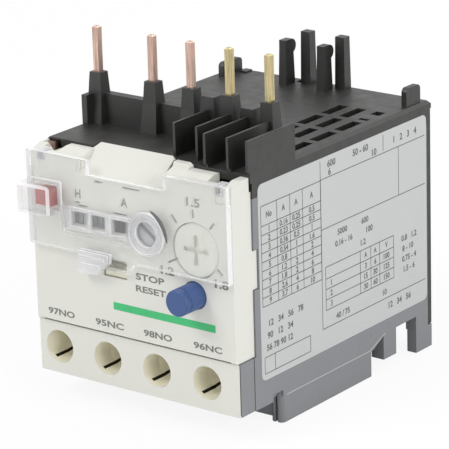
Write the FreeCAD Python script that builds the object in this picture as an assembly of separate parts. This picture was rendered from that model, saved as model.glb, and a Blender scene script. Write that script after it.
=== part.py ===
"""Thermal overload relay that plugs in under a small contactor.

Millimetres.  X runs to the right, Y runs from the front cover to the back and Z
runs up.  The origin is the middle of the footprint, on the surface that the
relay stands on.
"""
import FreeCAD, Part
import math
import os

V = FreeCAD.Vector

# ---- overall envelope ------------------------------------------------------
body_width = 45.0
body_depth = 60.1            # front cover face to the back of the rear wall
button_reach = 5.15          # stop and reset button ahead of the cover face
deck_z = 47.6                # seat for the contactor
seam_z = 43.3                # where the black top cover meets the grey base
belly_z = 5.0                # underside of the housing ahead of the terminals
wall = 1.5
half = body_width / 2
front_y = -(body_depth - button_reach) / 2

# ---- fits ------------------------------------------------------------------
running = 0.05               # radial clearance of a shaft in its bearing
slip = 0.15                  # a moving piece beside a fixed one
seat = 0.1                   # fixed pieces beside each other
rest_gap = 0.3               # curved pieces of different bodies

# ---- front cover -----------------------------------------------------------
plate_thick = 1.6
plate_half = half - 0.3
plate_foot_z = 15.25
plate_top_z = 46.5
flank_thick = 1.2
flank_depth = 5.3
flank_top_z = 44.6
snap_depth = 6.6
snap_z = (27.0, 34.0)
ear_width = 1.8
ear_top_z = 47.2
ear_slope = 0.95            # inward run of the ear's inner edge per unit of height
arm_slot_depth = 3.0         # depth of the slots that the hinge arms turn in
ramp_x = (-11.6, 5.9)
ramp_foot_z = 43.7
ramp_crest_z = 48.1
ramp_crest_depth = 5.9
ramp_lip = 0.8
window_z = (34.3, 36.9)
windows_x = ((-12.9, -9.7), (-8.9, -5.4), (-3.9, 0.0))
flag_window_x = (-6.5, -1.2)
flag_window_z = (25.9, 29.3)

# ---- auxiliary terminals ---------------------------------------------------
aux_face = 0.63              # depth of the terminal face behind the cover face
aux_top_z = 14.7
aux_bevel = 1.0
aux_count = 4
aux_first_x = 4.55 - half
aux_last_x = half - 7.18
aux_pitch = (aux_last_x - aux_first_x) / (aux_count - 1)
aux_screw_z = 10.06
funnel_mouth_r = 3.1
funnel_mouth_len = 4.3
funnel_throat_r = 2.5
funnel_depth = 7.0
funnel_slit = 0.9
carrier_back = 4.8           # depth of the joint between carrier and base
aux_block_back = 12.6
aux_wire_r = 1.9
aux_wire_depth = 10.0

# ---- power terminals -------------------------------------------------------
block_front = 13.36
block_back = body_depth - 19.74
block_foot_z = 0.7
block_roof_z = 11.0
bar_thick = 2.7
bar_inset = 0.15
bar_slot = 0.5
bar_depths = (12.8, body_depth - 19.3)
bar_notch = (10.0, 12.95, 6.3)   # depths and top of the gap ahead of the bar
phase_count = 3
phase_pitch = (body_width - 5.4) / phase_count
chamber_half = phase_pitch / 2 - 2.0
chamber_depths = (16.4, block_back - 6.76)
chamber_floor_z = 2.2
chamber_roof_z = 9.6
power_wire_r = 2.6
power_wire_depth = 21.2
power_screw_r = 3.1
power_screw_depth = block_back - 11.46

# ---- rear legs -------------------------------------------------------------
leg_front = (body_depth - 16.1, body_depth - 12.04)    # depths of the front leg
leg_back = (body_depth - 5.44, body_depth - 0.24)      # depths of the rear leg
leg_front_foot_z = 2.05
leg_front_thick = 3.0
leg_back_thick = 2.3
arch_z = 7.2
rear_wall = 1.4
rear_wall_foot_z = 4.4

# ---- deck with its bosses, fins, vents and clips -----------------------------
deck_front = 4.96
deck_thick = 1.5
pin_row = 17.66
pin_pitch = 8.545
pin_2_x = -8.07
pins_x = (1.9 - half, pin_2_x, pin_2_x + pin_pitch, pin_2_x + 2 * pin_pitch,
          pin_2_x + 3 * pin_pitch)
pin_side = 1.2
pin_tip_z = 65.2
boss_top_z = 56.8
boss_top = (2.45, 2.15)      # width and depth at the top of a pin boss
boss_waist_z = 52.9
boss_waist = (2.95, 2.6)
boss_foot = (3.7, 4.2)
ridge_top_z = 52.95
ridge_low_z = 51.95
ridge_depths = (17.4, 19.2)
fin_thick = 0.5
fin_shift = 0.6              # fins in front of a pin boss stand a little to the right
fin_top_z = 53.7
fin_front_long = 4.4
fin_front_short = 7.0
fin_sill_z = 48.2            # the fronts of the long fins stand over the cover above this
vent_columns_x = (half - 11.25, half - 7.25, half - 3.1)
vent_width = 2.0
vent_length = 6.0
vent_pitch = 7.5
vent_first = body_depth - 40.0
clip_pairs_x = ((-6.7, -3.6), (1.9, 4.2))   # hook and post of each pair
hook_width = 1.5
hook_depths = (body_depth - 5.7, body_depth - 3.3)
hook_top_z = 56.1
hook_nose_r = 1.35
post_width = 2.0
post_depths = (body_depth - 2.8, body_depth - 0.8)
post_top_z = 57.5
ear_tab_right = (half - 1.4, body_depth - 6.7, body_depth - 2.2, 51.1)   # x, depths, top
ear_tab_left = (2.25 - half, body_depth - 7.1, body_depth - 1.1, 50.2)
ear_tab_thick = 1.1

# ---- clear cover -----------------------------------------------------------
clear_face = -1.35
clear_thick = 0.9
clear_half = plate_half - 0.1
clear_foot_z = 29.6
clear_top_z = 46.9
clear_notch_x = (-8.4, 8.6)
clear_notch_z = 44.2
clear_tab_x = (-5.5, 0.0)
clear_tab_z = 27.6
bump_x = (0.3 - clear_half, 7.7 - clear_half)
bump_z = (36.3, 41.8)
bump_face = -4.9
ring_r = (3.5, 4.1)          # shallow raised ring around the selector's window
ring_rise = 0.35
bump_sill = 0.4              # thickness of the bump under the test button
cover_hinge_depth = 1.6
cover_hinge_z = 46.0
hinge_pin_r = 0.5
rim_top_z = 43.6

# ---- buttons, dial and selector --------------------------------------------
stop_x, stop_z = plate_half - 8.5, 26.0
stop_r = 2.4
stop_travel = 2.5
collar_r = 3.2
collar_depths = (1.8, 2.6)
stem_r = 1.2
stem_back = 13.0
test_x, test_z = 4.85 - plate_half, 39.0
test_size = (3.7, 2.8)
test_reach = 2.8
test_travel = 1.5
test_collar = (5.2, 4.1)
test_stem_r = 0.9
test_stem_back = 12.0
dial_x, dial_z = plate_half - 8.0, 34.15
dial_r = 4.9
dial_depths = (0.15, 1.45)
dial_cross = (5.4, 0.9, 0.7)
spindle_r = 1.6
spindle_back = 13.4
cam_depths = (9.7, 12.0)
cam_mid_r = 2.7
cam_rise = 0.8               # change of radius over the dial's whole turn
lever_arm = 12.2             # from the adjusting lever's pivot to the cam
lever_rise = 1.6
dial_turn = 240.0            # degrees
knob_x, knob_z = 4.3, 35.6
knob_r = 2.5
knob_face = -0.15
knob_slot = 0.8
knob_stem_r = 1.0
pinion_module = 0.5
pinion_teeth = 10
pinion_depths = (2.1, 3.5)
rack_addendum = 0.28
tooth_backlash = 0.14
selector_travel = 4.0
slider_x = (-14.5, -4.3)
slider_depths = (0.55, 1.5)
flag_travel = 1.7

# ---- mechanism plate -------------------------------------------------------
mech_depths = (8.0, 9.2)
mech_foot_z = 15.6
mech_top_z = 42.4

# ---- springs ---------------------------------------------------------------
spring_wire = 0.35
reset_spring_r = 1.9
test_spring_r = 1.5

# ---- heaters, bimetals and trip train ----------------------------------------
bimetal_depth = body_depth - 22.1       # depth of the middle of the strips
bimetal_width = 5.0
bimetal_thick = 0.8
bimetal_foot_z = 12.2
bimetal_top_z = 40.6
heater_turns = 6
heater_pitch = 2.6
heater_ribbon = (0.5, 1.5)
heater_half = (1.6, 3.5)     # middle of the ribbon beside the bimetal
heater_foot_z = 16.0
strip_thick = 0.8
strip_width = 2.6
strip_z = 44.2
strip_end_depths = (4.35, 5.3)   # upturned end seen through the left-hand corner
slide_depths = (bimetal_depth - 6.4, bimetal_depth - 4.4)
slide_thick = 1.2
trip_slide_z = 38.4
return_slide_z = 35.8
return_gap = 1.6             # from a return finger to its bimetal
slide_x = (-phase_pitch - 2.8, phase_pitch + 4.4)
finger_gap = 0.35
trip_stroke = 1.2
differential_x = phase_pitch + 3.2
trip_pivot_x, trip_pivot_z = -8.5, 28.4
trip_lever_depths = (14.6, 16.2)
carrier_x = (-2.6, 0.4)
carrier_depths = (11.0, 20.6)
carrier_z = (17.2, 28.0)
no_bridge = (21.6, 15.4)     # height and depth of the normally open bridge
nc_bridge = (24.6, 18.6)     # height and depth of the normally closed bridge
bridge_thick = 0.5
bridge_width = 2.2
carrier_travel = 0.8
contact_gap = 0.82
closed_gap = 0.02            # closed contacts touch to within this
contact_r = 0.9
contact_thick = 0.6

label_thick = 0.12
label_depths = (6.9, body_depth - 1.6)
label_z = (9.6, 45.4)
label_corner = 1.2


# ---- drawing helpers -------------------------------------------------------
def back(depth):
    """Y of a plane that lies this far behind the cover face."""
    return front_y + depth


def box(x0, x1, d0, d1, z0, z1):
    return Part.makeBox(x1 - x0, d1 - d0, z1 - z0, V(x0, back(d0), z0))


def rod(x, z, r, d0, d1):
    """Round bar along Y."""
    return Part.makeCylinder(r, d1 - d0, V(x, back(d0), z), V(0, 1, 0))


def post(x, depth, r, z0, z1):
    """Round bar along Z."""
    return Part.makeCylinder(r, z1 - z0, V(x, back(depth), z0))


def axle(depth, z, r, x0, x1):
    """Round bar along X."""
    return Part.makeCylinder(r, x1 - x0, V(x0, back(depth), z), V(1, 0, 0))


def taper(x, z, r0, r1, d0, d1):
    """Cone along Y."""
    return Part.makeCone(r0, r1, d1 - d0, V(x, back(d0), z), V(0, 1, 0))


def closed_face(points):
    return Part.Face(Part.makePolygon(points + [points[0]]))


def side_prism(outline, x0, x1):
    """Extrudes an outline of (depth, z) points along X."""
    face = closed_face([V(x0, back(d), z) for d, z in outline])
    return face.extrude(V(x1 - x0, 0, 0))


def front_prism(outline, d0, d1):
    """Extrudes an outline of (x, z) points along Y."""
    face = closed_face([V(x, back(d0), z) for x, z in outline])
    return face.extrude(V(0, d1 - d0, 0))


def plan_prism(outline, z0, z1):
    """Extrudes an outline of (x, depth) points along Z."""
    face = closed_face([V(x, back(d), z0) for x, d in outline])
    return face.extrude(V(0, 0, z1 - z0))


def frustum(x, depth, z0, size0, z1, size1):
    """Tapered square post between two rectangles of (width, depth)."""
    wires = []
    for z, (w, t) in ((z0, size0), (z1, size1)):
        corners = [V(x + sx * w / 2, back(depth) + sy * t / 2, z)
                   for sx, sy in ((-1, -1), (1, -1), (1, 1), (-1, 1))]
        wires.append(Part.makePolygon(corners + [corners[0]]))
    return Part.makeLoft(wires, True, True)


def fuse(shapes):
    return shapes[0].multiFuse(shapes[1:]).removeSplitter()


def cut(shape, tools):
    return shape.cut(tools)


def mirrored(shape):
    """The same piece on the other side of the relay's middle plane."""
    return shape.mirror(V(0, 0, 0), V(1, 0, 0))


def round_edges(shape, radius, wanted):
    return shape.makeFillet(radius, [e for e in shape.Edges if wanted(e)])


def bevel_edges(shape, size, wanted):
    return shape.makeChamfer(size, [e for e in shape.Edges if wanted(e)])


def runs_along(edge, axis):
    """True for a straight edge along one axis: 0 for X, 1 for Y, 2 for Z."""
    if not isinstance(edge.Curve, Part.Line):
        return False
    direction = edge.Curve.Direction
    return abs(abs(direction[axis]) - 1) < 1e-6


def at(edge, **place):
    """True where the middle of an edge has the stated coordinates."""
    middle = edge.CenterOfMass
    return all(abs(getattr(middle, k) - v) < 1e-3 for k, v in place.items())


def save(name, shape):
    shape.exportStep("parts/" + name + ".step")


def phase_x(i):
    return (i - (phase_count - 1) / 2) * phase_pitch


def aux_x(i):
    return aux_first_x + i * aux_pitch


# ---- housing ---------------------------------------------------------------
def side_wall():
    """Right-hand wall of the base, with the snap notch and the rear arch."""
    inner = half - wall
    n0, n1, n_top = bar_notch
    outline = [(carrier_back + seat, belly_z), (n0, belly_z), (n0, n_top), (n1, n_top),
               (n1, belly_z), (block_back + 0.3, belly_z),
               (leg_front[0] + 0.7, arch_z - 0.1), (leg_back[0], arch_z),
               (leg_back[0], belly_z), (body_depth - rear_wall - seat, belly_z),
               (body_depth - rear_wall - seat, seam_z), (flank_depth + seat, seam_z),
               (flank_depth + seat, plate_foot_z - 0.5), (carrier_back + seat, plate_foot_z - 0.5)]
    panel = side_prism(outline, inner, half)
    notch = box(inner - 1, half + 1, 0, snap_depth + seat, snap_z[0] - seat, snap_z[1] + seat)
    return cut(panel, [notch])


def label_recess():
    """Shallow pocket that the rating label is stuck in."""
    pocket = box(half - label_thick, half + 1, label_depths[0], label_depths[1], *label_z)
    return round_edges(pocket, label_corner, lambda e: runs_along(e, 0))


def side_bar():
    """Skid beside the power terminals, slotted at its front end."""
    outer = half - bar_inset
    bar = box(outer - bar_thick, outer, *bar_depths, 0, belly_z + 1.5)
    bar = round_edges(bar, 0.9, lambda e: runs_along(e, 2))
    slot_x = outer - bar_thick / 2
    slot = box(slot_x - bar_slot / 2, slot_x + bar_slot / 2, bar_depths[0] - 1,
               bar_depths[0] + 1.4, -1, belly_z + 0.5)
    return cut(bar, [slot])


def rear_legs():
    front_leg = box(half - leg_front_thick, half, leg_front[0], leg_front[1],
                    leg_front_foot_z, arch_z + 1)
    rear_leg = box(half - leg_back_thick, half, leg_back[0], leg_back[1], 0, rear_wall_foot_z - seat)
    shin = box(half - leg_back_thick, half, leg_back[0], body_depth - rear_wall - seat,
               rear_wall_foot_z - seat, arch_z + 1)
    front_leg = round_edges(front_leg, 0.6, lambda e: runs_along(e, 2) and e.CenterOfMass.x < half - 1)
    rear_leg = round_edges(rear_leg, 0.6, lambda e: runs_along(e, 2) and e.CenterOfMass.x < half - 1
                           and e.CenterOfMass.y < back(leg_back[0] + 1))
    return [front_leg, rear_leg, shin]


def power_block():
    """Lower block with one clamp chamber per phase, open underneath."""
    x = half - bar_inset - bar_thick
    block = box(-x - 0.5, x + 0.5, block_front + 0.5, block_back - 0.5, block_foot_z, block_roof_z)
    face = box(-x, x, block_front, block_front + 1, block_foot_z, block_roof_z)
    return [block, face]


def power_chambers():
    """Hollows of the clamp chambers with their wire and screwdriver holes."""
    tools = []
    for i in range(phase_count):
        cx = phase_x(i)
        tools.append(box(cx - chamber_half, cx + chamber_half, chamber_depths[0], chamber_depths[1],
                         chamber_floor_z, chamber_roof_z))
        tools.append(post(cx, power_wire_depth, power_wire_r, -1, chamber_floor_z + 0.1))
        tools.append(post(cx, power_screw_depth, power_screw_r, -1, chamber_floor_z + 0.1))
        tools.append(post(cx, power_screw_depth, 2.0, chamber_roof_z - 0.1, block_roof_z + 1))
        tools.append(box(cx - 2.7, cx + 2.7, chamber_depths[1] - 1.3, chamber_depths[1],
                         chamber_roof_z - 0.1, block_roof_z + 1))
    return tools


def base_housing():
    """Grey moulding that carries the terminals, the heaters and the trip train."""
    inner = half - wall
    rear = body_depth - rear_wall - seat
    parts = [side_wall(), side_bar()] + rear_legs()
    parts += [mirrored(s) for s in parts]
    parts += power_block()
    parts.append(box(-inner - 0.2, inner + 0.2, carrier_back + seat, block_front + 0.6,
                     belly_z, belly_z + wall))
    parts.append(box(-inner - 0.2, inner + 0.2, block_front, block_front + 1.4, belly_z, aux_top_z))
    parts.append(box(-inner - 0.2, inner + 0.2, block_front + 1, block_back - 1,
                     chamber_roof_z, block_roof_z))
    parts.append(box(-inner - 0.2, inner + 0.2, block_back - 1, rear, arch_z, arch_z + wall))
    barrier_x = phase_pitch / 2
    for x in (-barrier_x, barrier_x):
        parts.append(box(x - 0.6, x + 0.6, block_back - 6, rear, arch_z, return_slide_z - 1.5))
    tools = [post(aux_x(i), aux_wire_depth, aux_wire_r, belly_z - 1, belly_z + wall + 1)
             for i in range(aux_count)]
    return cut(fuse(parts), tools + power_chambers() + [label_recess()])


def terminal_carrier():
    """Grey frame that holds the white terminal face and closes its ends."""
    x = half - 0.05
    frame = plan_prism([(x, aux_face + 0.1), (x, carrier_back), (-x, carrier_back),
                        (-x, aux_face + 0.1)], belly_z, aux_top_z)
    return cut(frame, [aux_outer(seat), aux_neck(seat)])


def aux_outer(gap):
    """Bevelled front part of the white terminal block, grown by a gap."""
    x = half - 0.05
    wide = x + 3 * gap
    return plan_prism([(-wide, aux_face - gap), (wide, aux_face - gap),
                       (x - aux_bevel + gap, aux_face + aux_bevel + gap),
                       (x - aux_bevel + gap, carrier_back - 1.2 + gap),
                       (aux_bevel - x - gap, carrier_back - 1.2 + gap),
                       (aux_bevel - x - gap, aux_face + aux_bevel + gap)],
                      belly_z - gap, aux_top_z + gap)


def aux_neck(gap):
    """Rear part of the white terminal block, grown by a gap."""
    x = half - 2.1
    return box(-x - gap, x + gap, aux_face + 1, aux_block_back + gap,
               belly_z + wall + seat - gap, aux_top_z - 0.3 + gap)


def aux_terminal_block():
    """White block with a screwdriver funnel for each auxiliary terminal."""
    body = fuse([aux_outer(0), aux_neck(0)])
    tools = []
    for i in range(aux_count):
        x = aux_x(i)
        mouth = aux_face + funnel_mouth_len
        tools.append(rod(x, aux_screw_z, funnel_mouth_r, aux_face - 1, mouth))
        tools.append(taper(x, aux_screw_z, funnel_mouth_r, funnel_throat_r, mouth, funnel_depth))
        tools.append(rod(x, aux_screw_z, funnel_throat_r, funnel_depth, aux_block_back + 1))
        tools.append(box(x - 1.25 - funnel_slit, x - 1.25, aux_face + 1.0, funnel_depth + 1,
                         aux_screw_z - funnel_mouth_r, aux_screw_z - 1))
        tools.append(box(x - 2.5, x + 2.5, aux_wire_depth - 2.3, aux_wire_depth + 2.3,
                         belly_z + 1, aux_screw_z))
        tools.append(box(x - 3.0, x + 3.0, 8.5, aux_block_back + 1, aux_screw_z - 3.0,
                         aux_top_z + 1))
    return cut(body, tools)


# ---- top cover -------------------------------------------------------------
def pin_boss(x):
    """Tapered insulating post around one plug-in pin."""
    foot = frustum(x, pin_row, deck_z - 1, boss_foot, boss_waist_z, boss_waist)
    neck = frustum(x, pin_row, boss_waist_z, boss_waist, boss_top_z, boss_top)
    return [foot, neck]


def rib_row():
    """Wall that joins the bosses, the posts between them and the front fins."""
    first, last = pins_x[0], pins_x[-1]
    d0, d1 = ridge_depths
    parts = [box(first - 1.5, pins_x[2], d0, d1, deck_z - 1, ridge_top_z),
             box(pins_x[2], last + 1.5, d0, d1, deck_z - 1, ridge_low_z),
             box(first - 1.6, first - 0.4, d0 - 2.9, d0 + 1, deck_z - 1, ridge_top_z)]
    for k, top in ((0, 56.0), (1, 55.1)):
        x = (pins_x[2 + k] + pins_x[3 + k]) / 2
        parts.append(frustum(x, pin_row, deck_z - 1, (4.4, 2.4), top, (2.7, 2.1)))
    for i in range(1, 6):
        x = pins_x[2] + i * pin_pitch / 2
        front = fin_front_short if i < 3 else fin_front_long
        rear = ridge_depths[0] + 0.6
        if i == 5:
            x = half - fin_thick / 2
        elif i % 2 == 0:
            x += fin_shift
        foot = max(front, deck_front)
        parts.append(side_prism([(foot, deck_z - 1), (foot, fin_sill_z), (front, fin_sill_z),
                                 (front, fin_top_z), (rear, fin_top_z), (rear, deck_z - 1)],
                                x - fin_thick / 2, x + fin_thick / 2))
    return parts


def clip_pair(hook_x, post_x):
    """Hooked tongue and plain post that grip the contactor's base."""
    d0, d1 = hook_depths
    stem = frustum(hook_x, (d0 + d1) / 2, deck_z - 1, (hook_width + 0.3, d1 - d0 + 0.5),
                   hook_top_z - hook_nose_r, (hook_width, d1 - d0))
    x0 = hook_x - hook_width / 2
    nose = axle(d1 - 0.5, hook_top_z - hook_nose_r, hook_nose_r, x0, x0 + hook_width)
    tip = box(x0, x0 + hook_width, d0, d1 - 0.5, hook_top_z - 2 * hook_nose_r, hook_top_z)
    p0, p1 = post_depths
    plain = frustum(post_x, (p0 + p1) / 2, deck_z - 1, (post_width + 0.25, p1 - p0 + 0.1),
                    post_top_z, (post_width, p1 - p0 - 0.2))
    return [stem, nose, tip, plain]


def ear_tab(x, d0, d1, top):
    """Upright locating tab at the rear of each side."""
    t = ear_tab_thick / 2
    tab = box(x - t, x + t, d0, d1, deck_z - 1, top)
    return round_edges(tab, 0.9, lambda e: runs_along(e, 0) and e.CenterOfMass.z > deck_z)


def vent_slots():
    """Three staggered columns of cooling slots over the right-hand pole."""
    slots = []
    for c, x in enumerate(vent_columns_x):
        for row in range(4):
            start = vent_first + row * vent_pitch
            if c < 2 and row == 0:
                continue
            spans = [(start, start + vent_length)]
            if c == 2 and row == 3:
                spans = [(start, start + 1.0), (start + 3.8, start + vent_length)]
            for d0, d1 in spans:
                slots.append(box(x - vent_width / 2, x + vent_width / 2, d0, d1,
                                 deck_z - deck_thick - 1, deck_z + 1))
    return slots


def deck_shell():
    """Flat deck with its side skirts and the wall down the back."""
    inner = half - wall
    rear = body_depth - rear_wall
    slab = box(-half, half, deck_front, body_depth, deck_z - deck_thick, deck_z)
    slab = bevel_edges(slab, 0.6, lambda e: (runs_along(e, 1) and at(e, z=deck_z))
                       or (runs_along(e, 0) and at(e, z=deck_z, y=back(body_depth))))
    parts = [slab]
    for x0, x1 in ((-half, -inner), (inner, half)):
        parts.append(box(x0, x1, flank_depth + seat, rear + 0.5, seam_z, deck_z - deck_thick + 0.1))
    parts.append(box(3.5 - half, inner, 7.0, 8.2, seam_z + 0.4, deck_z - deck_thick + 0.1))
    parts.append(box(-half + 0.2, half - 0.2, rear, body_depth, rear_wall_foot_z, deck_z - 1))
    return parts


def top_cover():
    """Black moulding: deck, pin bosses, fins, vents, clips and rear wall."""
    parts = deck_shell() + rib_row()
    for x in pins_x:
        parts += pin_boss(x)
    for pair in clip_pairs_x:
        parts += clip_pair(*pair)
    parts += [ear_tab(*ear_tab_left), ear_tab(*ear_tab_right)]
    parts.append(box(3.4 - half, 4.9 - half, *post_depths, deck_z - 1, deck_z + 0.3))
    tools = vent_slots()
    for x in pins_x:
        s = pin_side / 2 + running
        tools.append(box(x - s, x + s, pin_row - s, pin_row + s, deck_z - 5, boss_top_z + 1))
    for hook_x, post_x in clip_pairs_x:
        tools.append(box(hook_x + hook_width / 2 + 0.1, post_x - post_width / 2 - 0.15,
                         post_depths[0], post_depths[1] - 0.2, deck_z - 3, deck_z + 0.5))
    tools.append(box(0.75 - half, 3.2 - half, deck_front - 1, flank_depth + seat, seam_z, deck_z - 0.4))
    tools.append(box(-half + wall, 3.2 - half, deck_front, deck_front + 1.3, seam_z, deck_z - 0.4))
    tools.append(box(ramp_x[0] - seat, ramp_x[1] + seat, deck_front - 1, ramp_crest_depth + seat,
                     seam_z, deck_z + 1))
    tools.append(label_recess())
    return cut(fuse(parts), tools)


# ---- front cover -----------------------------------------------------------
def flank():
    """Right-hand side of the front cover with its snap tab and upper ear."""
    x0, x1 = plate_half - flank_thick, plate_half
    outline = [(0, plate_foot_z), (0.4, plate_foot_z - 0.4), (flank_depth, plate_foot_z - 0.4),
               (flank_depth, snap_z[0]), (snap_depth, snap_z[0]), (snap_depth, snap_z[1]),
               (flank_depth, snap_z[1]), (flank_depth, flank_top_z), (0, flank_top_z)]
    wall_piece = side_prism(outline, x0, x1)
    rear = deck_front - seat
    side = side_prism([(0, flank_top_z - 2), (0, plate_top_z - 0.4), (2.7, ear_top_z),
                       (rear, ear_top_z), (rear, flank_top_z - 2)], plate_half - 6, plate_half)
    top_x = plate_half - ear_width + 0.15
    drop = ear_top_z - 44.2
    front = front_prism([(top_x - drop * ear_slope, 44.2), (top_x, ear_top_z),
                         (plate_half + 1, ear_top_z), (plate_half + 1, flank_top_z - 3),
                         (top_x - drop * ear_slope, flank_top_z - 3)], -1, rear + 1)
    return [wall_piece, side.common(front)]


def cover_tabs():
    """Stepped tabs on the cover's top edge, beside the ramp."""
    rear = deck_front - seat
    slope = side_prism([(0.9, 43.8), (0.9, 46.3), (3.4, 47.2), (3.8, 48.2), (rear, 48.2),
                        (rear, 43.8)], -plate_half, plate_half)
    tab1 = front_prism([(-19.3, 44.4), (-16.6, 47.2), (-11.2, 47.2), (-11.2, 43.9),
                        (-19.3, 43.9)], 0, rear)
    tab2 = front_prism([(7.1, 43.9), (7.1, 48.0), (9.9, 48.0), (10.6, 47.5), (10.6, 43.9)],
                       0, rear)
    tab3 = front_prism([(10.5, 43.9), (10.5, 47.1), (16.1, 47.1), (16.1, 43.9)], 0, rear)
    tab1, tab2, tab3 = [slope.common(tab) for tab in (tab1, tab2, tab3)]
    return [tab1, tab2, tab3]


def ramp():
    """Sloping guide that leads the contactor over the cover."""
    rear = deck_front - seat
    outline = [(0, ramp_foot_z), (ramp_crest_depth, ramp_crest_z),
               (ramp_crest_depth, ramp_crest_z - ramp_lip), (rear, ramp_crest_z - ramp_lip - 1.2),
               (rear, ramp_foot_z - 0.6), (0, ramp_foot_z - 0.6)]
    guide = side_prism(outline, ramp_x[0], ramp_x[1])
    x0, x1 = ramp_x
    shoulders = front_prism([(x0, 40), (x0, ramp_crest_z - 0.9), (x0 + 0.9, ramp_crest_z + 0.01),
                             (x1 - 0.6, ramp_crest_z + 0.01), (x1, ramp_crest_z - 0.6), (x1, 40)],
                            -1, ramp_crest_depth + 1)
    return guide.common(shoulders)


def front_cover():
    """White face of the relay with every opening for its controls."""
    hinge_notch = half - plate_half + flank_thick
    plate = box(-plate_half, plate_half, 0, plate_thick, plate_foot_z, plate_top_z)
    rise = (ramp_crest_z - ramp_foot_z) / ramp_crest_depth
    over_ramp = side_prism([(-1, ramp_foot_z), (0, ramp_foot_z), (3, ramp_foot_z + 3 * rise),
                            (3, deck_z + 1), (-1, deck_z + 1)], ramp_x[0], ramp_x[1])
    parts = [cut(plate, [over_ramp]), ramp()] + cover_tabs()
    parts += flank() + [mirrored(s) for s in flank()]
    parts.append(box(-plate_half + hinge_notch, plate_half - hinge_notch, 0.2, deck_front - seat,
                     42.6, 43.5))
    body = fuse(parts)
    tools = [rod(stop_x, stop_z, stop_r + slip, -1, plate_thick + 1),
             rod(dial_x, dial_z, dial_r + slip, -1, plate_thick + 1),
             rod(knob_x, knob_z, knob_r + slip, -1, plate_thick + 1)]
    w, h = test_size
    tools.append(box(test_x - w / 2 - slip, test_x + w / 2 + slip, -1, plate_thick + 1,
                     test_z - h / 2 - slip, test_z + h / 2 + slip))
    for x0, x1 in windows_x:
        tools.append(box(x0, x1, -1, plate_thick + 1, *window_z))
    tools.append(box(windows_x[0][0] - 1.6, windows_x[-1][1] + 1.0, 0.5, plate_thick + 1,
                     window_z[0] - 0.5, window_z[1] + 0.1))
    tools.append(box(*flag_window_x, -1, plate_thick + 1, *flag_window_z))
    tools.append(box(0.45 - plate_half, 2.9 - plate_half, 3.1, deck_front, strip_z - 0.2,
                     deck_z + 1))
    arm = hinge_arm_x()
    for side in (-1, 1):
        x0, x1 = sorted((side * (arm[0] - slip), side * (arm[1] + slip)))
        tools.append(box(x0, x1, -1, arm_slot_depth, cover_hinge_z - 2.6, deck_z + 1))
        tools.append(axle(cover_hinge_depth, cover_hinge_z, hinge_pin_r + running,
                          *sorted((side * arm[1], side * (plate_half - 0.25)))))
    return cut(body, tools)


# ---- clear cover -----------------------------------------------------------
def hinge_arm_x():
    """Inner and outer X of the clear cover's right-hand hinge arm."""
    outer = plate_half - ear_width - slip
    return outer - 1.3, outer


def clear_cover():
    """Hinged transparent cover with a bump, a round boss and a lifting tab."""
    n0, n1 = clear_notch_x
    t0, t1 = clear_tab_x
    outline = [(-clear_half, clear_foot_z), (t0 - 1.5, clear_foot_z), (t0, clear_tab_z),
               (t1, clear_tab_z), (t1 + 1.5, clear_foot_z), (clear_half, clear_foot_z),
               (clear_half, clear_top_z), (n1, clear_top_z), (n1, clear_notch_z),
               (n0, clear_notch_z), (n0, clear_top_z), (-clear_half, clear_top_z)]
    inner = clear_face + clear_thick
    sheet = front_prism(outline, clear_face, inner)
    rims = [box(s * clear_half - (0.7 if s > 0 else 0), s * clear_half + (0.7 if s < 0 else 0),
                clear_face, -seat, clear_foot_z, rim_top_z) for s in (-1, 1)]
    bump = box(bump_x[0], bump_x[1], bump_face, clear_face + 0.2, *bump_z)
    bump = bevel_edges(bump, 0.45, lambda e: at(e, y=back(bump_face)) or
                       (runs_along(e, 1) and e.CenterOfMass.y < back(clear_face)))
    ring = rod(knob_x, knob_z, ring_r[1], clear_face - ring_rise, clear_face + 0.2)
    band = box(windows_x[0][0] - 1.0, windows_x[-1][1] + 0.8, clear_face - 0.7, clear_face + 0.2,
               window_z[0] - 1.2, window_z[1] + 1.2)
    arms = []
    a0, a1 = hinge_arm_x()
    for side in (-1, 1):
        arm = box(*sorted((side * a0, side * a1)), clear_face, cover_hinge_depth + 0.9,
                  cover_hinge_z - 0.9, cover_hinge_z + 0.9)
        arm = round_edges(arm, 0.85, lambda e: runs_along(e, 0)
                          and e.CenterOfMass.y > back(cover_hinge_depth))
        pin = axle(cover_hinge_depth, cover_hinge_z, hinge_pin_r,
                   *sorted((side * (a1 - 0.1), side * (plate_half - 0.35))))
        arms += [arm, pin]
    shell = clear_thick * 0.8
    hollow = box(bump_x[0] + shell, bump_x[1] - shell, bump_face + shell, inner + 1,
                 bump_z[0] + bump_sill, bump_z[1] - shell)
    eye = rod(knob_x, knob_z, ring_r[0], clear_face - ring_rise - 1, clear_face)
    groove = box(windows_x[0][0] - 0.3, windows_x[-1][1] + 0.1, clear_face, inner + 1,
                 window_z[0] - 0.5, window_z[1] + 0.5)
    return cut(fuse([sheet, bump, ring, band] + rims + arms), [hollow, eye, groove])


# ---- controls --------------------------------------------------------------
def stop_reset_button():
    cap = rod(stop_x, stop_z, stop_r, -button_reach, collar_depths[0] + 0.1)
    cap = bevel_edges(cap, 0.2, lambda e: at(e, y=back(-button_reach)))
    groove = rod(stop_x, stop_z, stop_r + 1, 1.1 - button_reach, 1.45 - button_reach)
    groove = groove.cut(rod(stop_x, stop_z, stop_r - 0.12, 1 - button_reach, 1.6 - button_reach))
    collar = rod(stop_x, stop_z, collar_r, *collar_depths)
    stem = rod(stop_x, stop_z, stem_r, collar_depths[1] - 0.1, stem_back)
    return cut(fuse([cap, collar, stem]), [groove])


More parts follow.
